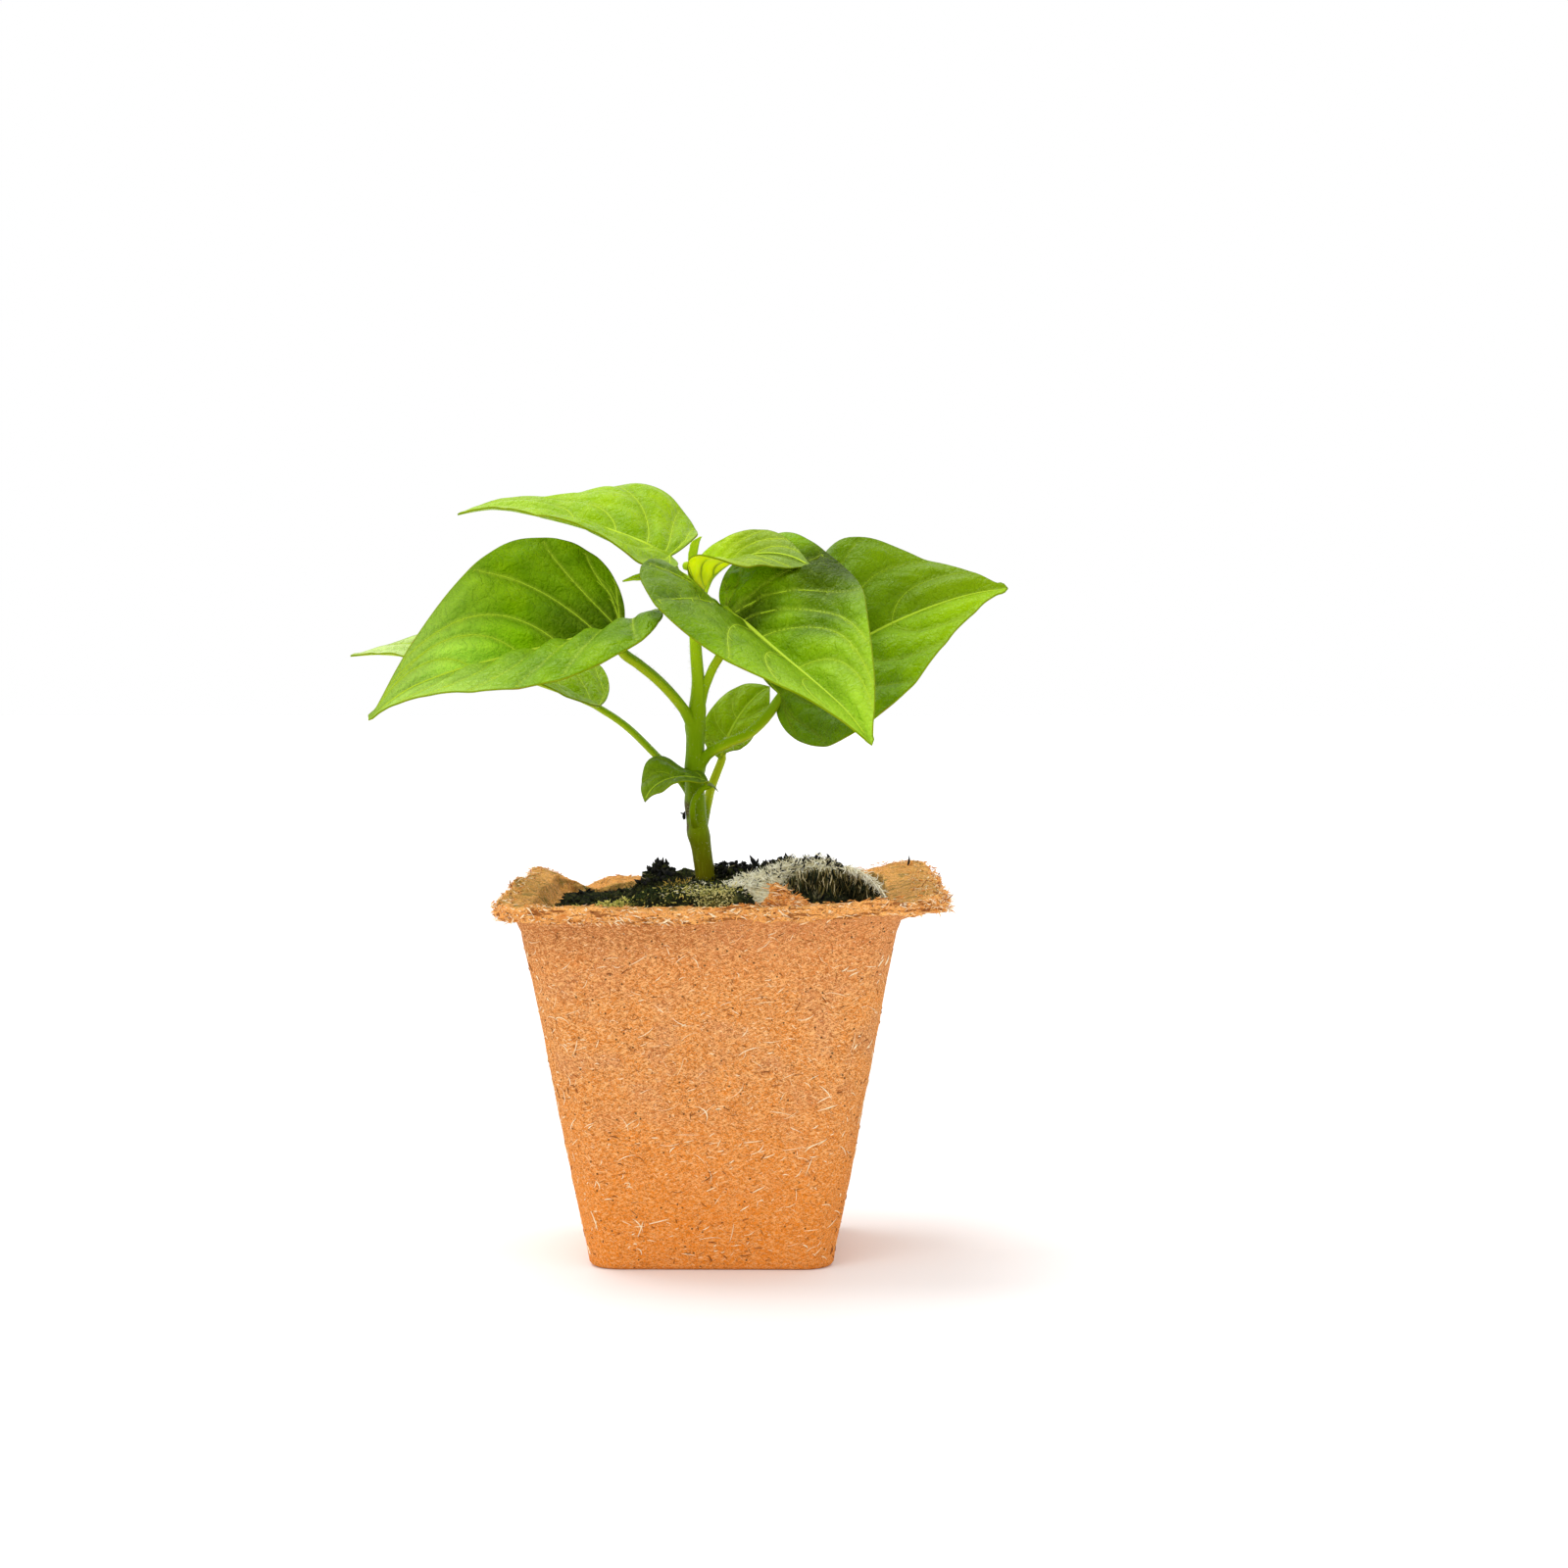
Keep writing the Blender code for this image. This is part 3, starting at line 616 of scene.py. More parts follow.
earthLook = {
    "dark": (0.006, 0.006, 0.006), "mid": (0.018, 0.021, 0.010), "green": (0.055, 0.062, 0.014),
    "brown": (0.075, 0.045, 0.020), "pale": (0.30, 0.25, 0.14),
    # Patches: middle, half widths, tint and how much of it
    "patches": (
        ((9.5, -16), (8.5, 10), (0.98, 0.88, 0.60), 1.0),
        ((22, -11), (13, 8), (0.60, 0.52, 0.30), 0.60),
        ((-23, -29), (11, 8), (0.36, 0.30, 0.06), 0.80),
        ((2.0, -36), (4.5, 4), (0.26, 0.24, 0.07), 0.60),
        ((-8, -22), (6, 6), (0.16, 0.13, 0.04), 0.50),
    ),
}


def earthMaterial():
    look = earthLook
    skin = Surface("pottingSoil", Roughness=0.95, Specular_IOR_Level=0.05)
    stops = ((0.36, look["dark"]), (0.50, look["mid"]), (0.60, look["green"]), (0.72, look["brown"]))
    skin.start(skin.noise(1.3, 4, 0.7), stops)
    skin.over(look["pale"], skin.noise(0.5, 2), 0.66, 0.74, 0.6)
    uneven = skin.noise(2.2, 3, 0.7)
    for middle, reach, tint, strength in look["patches"]:
        offset = skin.vector("SUBTRACT", skin.coords, (middle[0] * mm, middle[1] * mm, 0))
        offset = skin.vector("MULTIPLY", offset, (1 / reach[0] / mm, 1 / reach[1] / mm, 0))
        away = skin.plus(skin.vector("LENGTH", offset, (0, 0, 0), "Value"), uneven)
        skin.over(tint, away, 1.5, 1.15, strength)
    return skin.done(skin.noise(0.6, 4, 0.7), 1.0, 0.6)


earth = earthMaterial()
finishPiece("soilBed", loftPiece(soilRows(), soil["sides"], soilPoint), [earth], ["soil"])
print("soil filled")


# Loose strands, crumbs and chips

def addStrand(bm, rng, start, way, length, thick, curl, sides=3, segments=5, flat=1.0, material=0):
    # A tapering strand that wanders by curl degrees along its length
    direction = Vector(way).normalized()
    side = direction.orthogonal().normalized()
    side.rotate(Matrix.Rotation(rng.uniform(0, 2 * pi), 3, direction))
    turn = Matrix.Rotation(radians(curl * rng.uniform(0.3, 1) / segments), 3, side)
    path = [Vector(start)]
    for step in range(segments):
        path.append(path[-1] + direction * (length / segments))
        direction.rotate(turn)
    radii = [thick * sin(pi * between(0.22, 0.96, step / segments)) for step in range(segments + 1)]
    section = flatSection(flat) if flat < 1 else None
    sweepTube(bm, path, radii, sides, up=side, section=section, material=material)


def headingWay(heading, pitch):
    heading, pitch = radians(heading), radians(pitch)
    return (cos(heading) * cos(pitch), sin(heading) * cos(pitch), sin(pitch))


crumbs = {
    "seed": 21, "count": 3100, "size": (0.22, 0.80), "edge": 0.975, "clumpSpread": 3.0,
    # The dark ridge right of the stem: top, place and width, where it starts and where it ends
    "ridge": {"top": 85.6, "y": 3, "width": 3, "start": (-4, 0), "end": (22, 15)},
    "ridgeX": (-1, 17), "ridgeSpread": 2.0,
}


def ridgeLift(x, y):
    ridge = crumbs["ridge"]
    lack = max(ridge["top"] - soilTop(x, y), 0) * exp(-((y - ridge["y"]) / ridge["width"]) ** 2)
    return lack * smoothStep(*ridge["start"], x) * smoothStep(*ridge["end"], x)


def crumbMesh():
    rng = random.Random(crumbs["seed"])
    shapeBm = bmesh.new()
    bmesh.ops.create_icosphere(shapeBm, subdivisions=1, radius=1)
    shape = meshOf("crumbShape", shapeBm)
    clump = soil["clump"]
    bm = bmesh.new()
    for number in range(crumbs["count"]):
        angle = rng.uniform(0, 2 * pi)
        along = sqrt(rng.random()) * crumbs["edge"]
        lift = 0
        if number % 6 == 0:
            # Some pile up on the clump behind the stem
            x, y = (rng.gauss(clump[axis], crumbs["clumpSpread"]) for axis in "xy")
        elif number % 6 in (1, 2):
            # And some heap up the ridge
            x, y = rng.uniform(*crumbs["ridgeX"]), rng.gauss(crumbs["ridge"]["y"], crumbs["ridgeSpread"])
            lift = rng.uniform(0, 1) * ridgeLift(x, y)
        else:
            edge = soilEdge(angle, innerFoot)
            x, y = edge.x * along, edge.y * along
        size = between(*crumbs["size"], rng.random() ** 2.5)
        middle = Vector((x, y, soilTop(x, y) + lift + size * rng.uniform(0, 0.9)))
        turn = Matrix.Rotation(rng.uniform(0, 6), 3, Vector((rng.random(), rng.random(), 1)).normalized())
        squeeze = Vector((rng.uniform(0.6, 1.3), rng.uniform(0.6, 1.3), rng.uniform(0.5, 1.1)))

        def place(point):
            away = point * squeeze * size * rng.uniform(0.7, 1.25)
            away.rotate(turn)
            return middle + away

        addShape(bm, shape, place)
    return bm


def edgeHeight(line, x):
    # Height of a line of sideways places and heights
    for (x0, z0), (x1, z1) in zip(line, line[1:]):
        if x <= x1:
            return between(z0, z1, max(x - x0, 0) / (x1 - x0))
    return line[-1][1]


def patchPlace(patch, rng):
    # Anywhere in the patch's ranges, or in an uneven blob inside them
    (x0, x1), (y0, y1) = patch["x"], patch["y"]
    if not patch.get("blob"):
        return rng.uniform(x0, x1), rng.uniform(y0, y1)
    angle = rng.uniform(0, 2 * pi)
    uneven = noiseAt(cos(angle), sin(angle), x0, 0.7)
    reach = rng.random() ** 0.6 * (1.1 + 0.5 * uneven)
    x = (x0 + x1) / 2 + (x1 - x0) / 2 * reach * cos(angle)
    y = (y0 + y1) / 2 + (y1 - y0) / 2 * reach * sin(angle)
    return min(max(x, -soil["sideEnd"]), soil["sideEnd"]), max(y, soil["frontEnd"])


def scatterStrands(tufts):
    # Each row: count, ranges of x, y, height over the soil, length, thickness and pitch, the curl
    # along a strand, and what differs from the usual heading, sides, segments, flatness and material
    rng = random.Random(tufts["seed"])
    bm = bmesh.new()
    names = ("count", "x", "y", "lift", "length", "thick", "pitch", "curl")
    for row in tufts["rows"]:
        patch = dict(tufts["usual"], **dict(zip(names, row)))
        patch.update(*row[len(names):])
        shape = {name: patch[name] for name in ("sides", "segments", "flat", "material") if name in patch}
        for number in range(patch["count"]):
            x, y = patchPlace(patch, rng)
            lift = rng.uniform(*patch["lift"])
            # Some hang below the broken edge of the root ball
            level = edgeHeight(patch["under"], x) if "under" in patch else soilTop(x, y) + ridgeLift(x, y)
            way = headingWay(rng.uniform(*patch.get("heading", (0, 360))), rng.uniform(*patch["pitch"]))
            length, thick = rng.uniform(*patch["length"]), rng.uniform(*patch["thick"])
            addStrand(bm, rng, (x, y, level + lift), way, length, thick, patch["curl"], **shape)
    return bm


def strandMaterial(name, first, second, size):
    skin = Surface(name, Roughness=0.8, Specular_IOR_Level=0.08)
    skin.colour = skin.mix(skin.mask(skin.noise(size), 0.34, 0.66), first, second)
    return skin.done(skin.noise(0.25, 2), 0.4, 0.05)


def strandTints(tufts):
    return [strandMaterial(*tint) for tint in tufts["tints"]]


finishPiece("soilCrumbs", crumbMesh(), [earth], smooth=False)

# Dark chips of bark that stand up out of the soil, most along the skyline of the mound
chips = {
    "seed": 31,
    "usual": dict(sides=4, segments=3, flat=0.35),
    "rows": (
        (140, (-1, 17), (0, 7), (-0.4, 0.5), (0.7, 2.0), (0.25, 0.6), (0, 70), 60),
        (14, (3, 30), (-3, 5), (0, 0.3), (1.8, 2.8), (0.3, 0.55), (35, 80), 90,
         dict(segments=4, flat=0.4)),
        (110, (14, 33), (-6, 6), (-0.4, 0.5), (0.7, 2.0), (0.25, 0.6), (0, 70), 60),
        (150, (10, 34), (-17, -5), (0, 0.9), (0.8, 2.2), (0.12, 0.32), (0, 55), 60, dict(flat=0.4)),
        (60, (5, 37), (-19, -8), (0, 1.0), (0.7, 1.8), (0.12, 0.30), (0, 60), 60, dict(flat=0.4)),
        (90, (-17, -9), (0, 8), (-0.5, 1.2), (0.8, 2.0), (0.3, 0.7), (0, 80), 30, dict(sides=5, flat=0.6)),
        (170, (-34, 34), (-30, 34), (-0.3, 0.3), (0.9, 2.2), (0.25, 0.6), (0, 45), 40),
    ),
    # Name, two colours and the size of their patches
    "tints": (
        ("barkChip", (0.005, 0.006, 0.009), (0.028, 0.026, 0.022), 1.2),
    ),
}
barkTints = strandTints(chips)
finishPiece("barkChips", scatterStrands(chips), barkTints)

# The bed's front edge stands free above the lip, so moss there starts from the edge's height
atEdge = dict(heading=(180, 360), under=[(x, soilTop(x, -37.4)) for x in range(-36, 13, 2)])
darkEdge, greyEdge = dict(atEdge, material=1), dict(atEdge, material=2)
green, dark, loose = dict(material=0, blob=True), dict(material=1, blob=True), dict(material=1)

# Green moss along the left front and in front of the stem, greyer where it is dry
moss = {
    "seed": 41,
    "usual": dict(segments=2),
    "rows": (
        (640, (-31, -17), (-42, -14), (0, 1.3), (0.7, 1.7), (0.15, 0.29), (-40, 60), 120, green),
        (220, (-20, 9), (-38.3, -37.3), (-5, 0.6), (0.5, 1.4), (0.12, 0.24), (-70, 60), 120, darkEdge),
        (330, (-3, 5.5), (-38.4, -37.3), (-5, 0.5), (0.4, 1.1), (0.10, 0.19), (-70, 50), 130, greyEdge),
        (100, (-16, -3), (-38.3, -37.3), (-4, 0.5), (0.4, 1.2), (0.09, 0.18), (-70, 60), 120, atEdge),
        (420, (-35, -19), (-37.8, -26), (0, 1.7), (0.4, 1.2), (0.10, 0.20), (-40, 60), 120, green),
        (330, (-16, -3), (-30, -12), (-0.2, 0.5), (0.4, 1.2), (0.09, 0.18), (-40, 60), 120, green),
        (180, (-21, -5), (-37.8, -26), (0, 1.9), (0.5, 1.3), (0.12, 0.24), (-40, 60), 120, dark),
        (300, (-19, -6), (-35, -14), (-0.2, 1.2), (0.5, 1.5), (0.10, 0.20), (-30, 70), 100, dark),
        (260, (-3, 5.5), (-38, -33), (0, 1.6), (0.4, 1.1), (0.09, 0.17), (-50, 50), 130, dict(material=2)),
        (120, (-3, 5.5), (-38, -33), (0, 1.6), (0.4, 1.2), (0.09, 0.17), (-50, 50), 130, loose),
        (200, (-12, 9), (-38, -24), (-0.1, 1.2), (0.4, 1.3), (0.08, 0.16), (-30, 60), 110, green),
        (300, (-12, 8), (-26, -6), (-0.2, 0.7), (0.6, 1.6), (0.07, 0.14), (0, 80), 70, dark),
        (300, (-33, 30), (0, 34), (-0.2, 0.4), (0.8, 1.8), (0.09, 0.15), (20, 90), 60, loose),
    ),
    # Name, two colours and the size of their patches
    "tints": (
        ("mossGreen", (0.34, 0.34, 0.05), (0.98, 0.84, 0.24), 1.1),
        ("mossDark", (0.008, 0.014, 0.006), (0.045, 0.065, 0.015), 1.5),
        ("mossGrey", (0.50, 0.46, 0.13), (1.0, 0.92, 0.42), 1.6),
    ),
}
finishPiece("mossTufts", scatterStrands(moss), strandTints(moss))

# Sideways places and heights of the broken edge of the root ball, seen from the front
ballEdge = ((15, 83.6), (19, 86.0), (24, 86.8), (29.5, 86.6), (33, 85.2), (36.1, 82.8), (38.3, 79.3))

# Pale matted fibre: the dry mass right of the stem, the crest of the mound and its edge
fluff = {
    "seed": 51,
    "usual": dict(segments=4),
    "rows": (
        (1130, (3.5, 15.5), (-25, -9), (0, 1.5), (1.0, 2.8), (0.08, 0.15), (-20, 20), 150),
        (605, (11, 33), (-16, -4), (0, 0.8), (1.0, 2.8), (0.07, 0.13), (-15, 20), 130, dict(material=1)),
        (205, (11, 31), (-16.5, -10), (0, 0.9), (1.0, 2.8), (0.07, 0.13), (-15, 20), 130),
        (365, (29, 38.2), (-19, -17), (-0.9, 0.5), (0.8, 2.4), (0.06, 0.12), (-80, 30), 110,
         dict(heading=(-150, 30), segments=5, under=ballEdge)),
        (180, (-10, 8), (-36, -16), (0, 0.9), (0.6, 1.8), (0.08, 0.15), (-20, 30), 130,
         dict(segments=3, material=1)),
        (110, (12, 34), (-17, 0), (0.2, 1.4), (0.8, 2.4), (0.10, 0.22), (-10, 60), 90, dict(segments=3)),
    ),
    # Name, two colours and the size of their patches
    "tints": (
        ("creamFibre", (1.0, 0.93, 0.68), (1.0, 0.97, 0.82), 2),
        ("beigeFibre", (0.66, 0.56, 0.30), (1.0, 0.95, 0.72), 1.6),
    ),
}
creamFibre, beigeFibre = strandTints(fluff)
finishPiece("creamFluff", scatterStrands(fluff), [creamFibre, beigeFibre])

# The bared front of the root ball: strands that hang down its face
narrow = dict(heading=(-115, -65), under=ballEdge)
hanging = {
    "seed": 61,
    "usual": dict(segments=4),
    "rows": (
        (410, (15, 38), (-18.5, -16.5), (-5, -0.3), (1.6, 4.5), (0.10, 0.26), (-89, -60), 50, narrow),
        (500, (15, 38), (-18.5, -16.5), (-6, -0.3), (1.6, 4.5), (0.10, 0.24), (-89, -60), 60,
         dict(heading=(-125, -55), material=1, under=ballEdge)),
        (115, (15, 37), (-19, -17), (-3.0, 0.2), (1.4, 4.0), (0.07, 0.13), (-88, -50), 70,
         dict(narrow, material=2)),
        (180, (12, 34), (-14, 14), (-0.2, 0.6), (1.2, 3.5), (0.06, 0.10), (-10, 35), 80, dict(material=2)),
        (230, (-33, 33), (-34, 34), (-0.1, 0.3), (1.2, 3.5), (0.06, 0.11), (-10, 25), 80, dict(material=2)),
        (70, (-11, -5), (-14, -4), (0, 0.6), (0.8, 1.8), (0.09, 0.16), (0, 60), 60, dict(material=3)),
    ),
    # Name, two colours and the size of their patches
    "tints": (
        ("oliveStrand", (0.015, 0.016, 0.005), (0.20, 0.16, 0.05), 2.5),
        ("blackStrand", (0.004, 0.005, 0.004), (0.03, 0.04, 0.015), 1.5),
        ("tanStrand", (0.22, 0.16, 0.05), (0.80, 0.68, 0.40), 2.5),
        ("yellowBit", (0.40, 0.24, 0.04), (0.62, 0.42, 0.08), 1.5),
    ),
}
finishPiece("rootStrands", scatterStrands(hanging), strandTints(hanging))

# Single white roots at the right wall
roots = {
    "perSpan": 8, "sides": 8, "endTaper": 0.5,
    # Points and thickness
    "rows": (
        (((36.4, -18.5, 82.6), (37.4, -19.5, 81.0), (38.4, -22, 79.6), (39.6, -26, 79.0)), 0.16),
        (((31.5, -18.6, 86.0), (33.6, -18.8, 85.0), (35.4, -19.2, 83.2), (36.6, -20, 81.2)), 0.14),
    ),
}


def rootMesh():
    bm = bmesh.new()
    for points, thick in roots["rows"]:
        path = smoothPath(points, roots["perSpan"])
        radii = [thick * between(1, roots["endTaper"], k / len(path)) for k in range(len(path))]
        sweepTube(bm, path, radii, roots["sides"])
    return bm


finishPiece("whiteRoots", rootMesh(), [creamFibre])
print("soil dressed")


# Fibres of the pot's wall and its frayed lip

wallFibres = {
    # Seed, count, length, thickness, usual slant and how much it varies
    "pale": (81, 1000, (0.7, 4.6), (0.07, 0.18), 20, 36),
    "brown": (82, 780, (0.5, 2.2), (0.07, 0.17), -22, 50),
    # Where they begin, where they end, how deep they lie, their bend and their taper
    "height": (2, 76), "ends": (1, 77), "sink": 0.3, "bend": 9, "taper": (0.15, 0.92),
    "steps": 5,
    # Way round the pot over its half width
    "roundShare": 7.4,
}
lipFibres = {
    # Count, length, thickness, and which shares of the way round they grow on
    "edge": (2150, (0.6, 2.6), (0.07, 0.19), (0, 1)),
    "top": (1000, (0.6, 2.2), (0.06, 0.15), (0, 1)),
    "front": (620, (0.7, 2.8), (0.08, 0.17), (0.652, 0.735)),
    # Shares of orange, cream and brown among them, and in the tear at the front
    "mix": (0.58, 0.33, 0.09),
    "frontMix": (0.50, 0.48, 0.02),
    "seed": 83, "curl": 60,
    # Name, two colours and the size of their patches
    "tints": (
        ("orangeFibre", (0.78, 0.28, 0.05), (0.96, 0.52, 0.16), 1.2),
        ("paleFibre", (0.94, 0.64, 0.34), (1.0, 0.88, 0.62), 1.5),
        ("brownFibre", (0.16, 0.05, 0.015), (0.42, 0.15, 0.04), 1.6),
    ),
}


def wallPlace(share, height):
    row = (outerHalf(height), height, pot["corner"], 0, 0)
    tangent = (potPoint(row, share + 0.003) - potPoint(row, share - 0.003)).normalized()
    return potPoint(row, share), tangent.cross(Vector((0, 0, 1))).normalized()


def wallFibreMesh(kind):
    look = wallFibres
    seed, count, lengths, thicks, slant, vary = look[kind]
    rng = random.Random(seed)
    bm = bmesh.new()
    steps = look["steps"]
    low, high = look["ends"]
    for number in range(count):
        share = rng.random()
        height = rng.uniform(*look["height"])
        length = between(*lengths, rng.random() ** 1.8)
        thick = between(*thicks, rng.random())
        lean = radians(rng.gauss(slant, vary))
        bend = radians(rng.gauss(0, look["bend"]))
        path = []
        for step in range(steps + 1):
            point, outward = wallPlace(share, height)
            path.append(point + outward * thick * (1 - 2 * look["sink"]))
            share = (share + length / steps * cos(lean) / (look["roundShare"] * outerHalf(height))) % 1
            height = min(max(height + length / steps * sin(lean), low), high)
            lean += bend
        radii = [thick * sin(pi * between(*look["taper"], step / steps)) for step in range(steps + 1)]
        sweepTube(bm, path, radii, 3, up=outward)
    return bm


def lipPlace(share, kind, rng):
    # A place on the lip's outer edge or on its top, and the way that is free there
    if kind == "top":
        out, height, lift = rng.uniform(0.3, 0.95), pot["height"], 1
    elif kind == "front":
        # Under the lip, where a layer is torn off
        out = rng.uniform(0.2, 1)
        height, lift = pot["height"] - pot["lip"] * rng.uniform(0.6, 1), between(0.4, 1, out)
    else:
        out, height, lift = 1, pot["height"] - pot["lip"] * rng.random(), 1
    angle = ringAngle(share)
    point = potPoint((outerHalf(lipFoot), height, pot["corner"], out, lift), share)
    return point, Vector((cos(angle), sin(angle), 0))


def lipFibreMesh():
    rng = random.Random(lipFibres["seed"])
    bm = bmesh.new()
    for kind in ("edge", "top", "front"):
        count, lengths, thicks, shares = lipFibres[kind]
        for number in range(count):
            point, away = lipPlace(rng.uniform(*shares), kind, rng)
            along = away.cross(Vector((0, 0, 1))) * rng.choice((-1, 1))
            if kind == "top":
                way = along + away * rng.uniform(-0.7, 0.9) + Vector((0, 0, rng.uniform(-0.1, 0.45)))
            else:
                way = along * rng.uniform(0.5, 1.5) + away * rng.uniform(0, 0.5)
                way += Vector((0, 0, rng.uniform(-0.9, 0.5)))
            length = between(*lengths, rng.random() ** 2)
            thick = between(*thicks, rng.random())
            material = rng.choices((0, 1, 2), lipFibres["frontMix" if kind == "front" else "mix"])[0]
            start = point - way.normalized() * length * 0.25
            addStrand(bm, rng, start, way, length, thick, lipFibres["curl"], 3, 3, material=material)
    return bm


fibreTints = strandTints(lipFibres)
finishPiece("potPaleFibres", wallFibreMesh("pale"), fibreTints[1:2])
finishPiece("potBrownFibres", wallFibreMesh("brown"), fibreTints[2:])
finishPiece("potLipFibres", lipFibreMesh(), fibreTints)


def tornSheet(look, zone, place):
    # A grid shaped by place from shares across and up, painted as that zone of the pot
    bm = bmesh.new()
    layer = bm.verts.layers.float.new("zone")
    bmesh.ops.create_grid(bm, x_segments=look["columns"], y_segments=look["rows"], size=1)
    for vert in bm.verts:
        vert.co = place((vert.co.x + 1) / 2, (vert.co.y + 1) / 2) * mm
        vert[layer] = zone
    bmesh.ops.solidify(bm, geom=bm.faces, thickness=look["thickness"] * mm)
    bmesh.ops.recalc_face_normals(bm, faces=bm.faces)
    return bm


# A torn layer that leans from the left lip down to the soil
innerFlap = {
    "shares": (0.36, 0.655), "reach": 4.2, "thickness": 0.7, "columns": 150, "rows": 16, "sag": 0.9,
    # Where its ends begin to run out, and how far it stands above the rim it leaves
    "endFrom": 0.86, "proud": 0.15,
    # Depth and patch size of its waves, and how fast its foot wavers along the wall
    "waves": (0.35, 1.4), "footWave": 0.4, "waver": 220,
}


def innerFlapPoint(across, down):
    share = between(*innerFlap["shares"], across)
    ends = smoothStep(1, innerFlap["endFrom"], abs(2 * across - 1))
    wall = pot["wall"]
    edgeRow = (outerHalf(lipFoot) - wall, pot["height"] - pot["innerDrop"], pot["corner"] - wall, 0, 0.6)
    top = potPoint(edgeRow, share) + Vector((0, 0, innerFlap["proud"]))
    angle = ringAngle(share)
    place = share * innerFlap["waver"]
    reach = innerFlap["reach"] * ends * (0.8 + 0.5 * noiseAt(place, 0, 3, 4)) + 0.2
    foot = top + Vector((-cos(angle), -sin(angle), 0)) * reach
    foot.z = soilTop(foot.x, foot.y) + innerFlap["footWave"] * noiseAt(place, 1, 0, 2)
    point = top.lerp(foot, down)
    point.z -= innerFlap["sag"] * sin(pi * down) * ends
    deep, size = innerFlap["waves"]
    point.z += deep * noiseAt(point.x, point.y, 3, size)
    return point


finishPiece("innerFlap", tornSheet(innerFlap, 2, innerFlapPoint), [fibre])

# The torn tongue of fibre that stands up from the front of the lip
tongue = {
    # Its upper edge, as sideways place and height
    "edge": ((4, 79.9), (7, 80.5), (10.8, 80.9), (12.6, 81.9), (13.3, 84.6), (15, 84.9), (16.6, 83.9),
             (18, 82.8), (20, 81.8), (25, 79.9)),
    "foot": 78.6, "y": -43.5, "lean": 0.35, "thickness": 0.9, "columns": 90, "rows": 22,
    # Raggedness of the upper edge and of the face: depth, patch size and place in the noise
    "ragged": ((1.0, 1.6, 3), (0.8, 0.5, 5)), "crumple": ((1.0, 2.0, 2), (0.6, 0.7, 8)),
    "seed": 91, "fibres": 260, "mix": (0.72, 0.23, 0.05), "curl": 60,
}
tongueEdge = smoothPath([(x, 0, z) for x, z in tongue["edge"]], 20)


def tonguePoint(across, up):
    point = tongueEdge[round(across * (len(tongueEdge) - 1))]
    top = point.z
    for deep, size, place in tongue["ragged"]:
        top += deep * noiseAt(point.x, place, 0, size)
    height = between(tongue["foot"], top, up)
    y = tongue["y"] + tongue["lean"] * (height - tongue["foot"])
    for deep, size, place in tongue["crumple"]:
        y += deep * noiseAt(point.x, height, place, size)
    return Vector((point.x, y, height))


def tongueFibreMesh():
    rng = random.Random(tongue["seed"])
    bm = bmesh.new()
    for number in range(tongue["fibres"]):
        point = tongueEdge[rng.randrange(len(tongueEdge))]
        height = between(tongue["foot"], point.z, rng.random() ** 0.6)
        y = tongue["y"] + tongue["lean"] * (height - tongue["foot"]) + rng.uniform(-1.2, 0.6)
        way = (rng.choice((-1, 1)), rng.uniform(-0.5, 0.3), rng.uniform(-0.7, 0.6))
        length, thick = rng.uniform(0.8, 2.6), rng.uniform(0.07, 0.16)
        material = rng.choices((0, 1, 2), tongue["mix"])[0]
        addStrand(bm, rng, (point.x, y, height), way, length, thick, tongue["curl"], 3, 3, material=material)
    return bm


finishPiece("tornTongue", tornSheet(tongue, 1, tonguePoint), [fibre])
finishPiece("tornTongueFibres", tongueFibreMesh(), fibreTints)
print("pot frayed")


# Stem

stem = {
    # Height, sideways place and radius
    "stations": (
        (58, -2.0, 1.2), (66, -2.0, 1.9), (81.6, -2.0, 2.15), (88, -2.6, 2.2), (96, -3.9, 2.3),
        (104, -4.4, 2.15), (110, -4.3, 2.1), (118, -4.1, 2.0), (122, -3.8, 1.7), (127, -3.6, 1.45),
        (134, -4.1, 1.35), (143, -4.5, 1.15), (148, -4.8, 1.0),
    ),
    # Height, way round and size of the swelling at each node
    "nodes": (
        (93, 110, 0.30), (92.5, -120, 0.30), (99.5, 150, 0.28), (108.0, 0, 0.50),
        (117.2, 190, 0.50), (120.5, 10, 0.35), (138.5, 120, 0.2), (140, 0, 0.15),
    ),
    # How tall the swellings are, the radius they count from, and their share at the back
    "nodeTall": 1.8, "nodeRadius": 2.2, "nodeBack": 0.35,
    # Ribs: how many, how deep, and their turn with height
    "ribs": (5, 0.025, 0.05),
    "sides": 32, "perSpan": 22,
}


def stemLine(perSpan):
    path = smoothPath([(x, 0, height) for height, x, radius in stem["stations"]], perSpan)
    return path, spread([radius for height, x, radius in stem["stations"]], len(path))


def stemMesh():
    path, radii = stemLine(stem["perSpan"])
    bm = bmesh.new()
    sweepTube(bm, path, radii, stem["sides"], up=(0, 1, 0))
    ribs, deep, twist = stem["ribs"]
    back = stem["nodeBack"]
    for vert in bm.verts:
        height = vert.co.z / mm
        nearest = min(path, key=lambda point: abs(point.z - height))
        away = Vector((vert.co.x / mm - nearest.x, vert.co.y / mm - nearest.y, 0))
        way = degrees(atan2(away.y, away.x))
        swell = deep * sin(radians(way) * ribs + height * twist)
        for place, towards, size in stem["nodes"]:
            turned = back + (1 - back) * max(cos(radians(way - towards)), 0)
            swell += size / stem["nodeRadius"] * exp(-((height - place) / stem["nodeTall"]) ** 2) * turned
        swell += 0.02 * noiseAt(away.x * 3, away.y * 3, height, 6)
        vert.co += away * swell * mm
    return bm


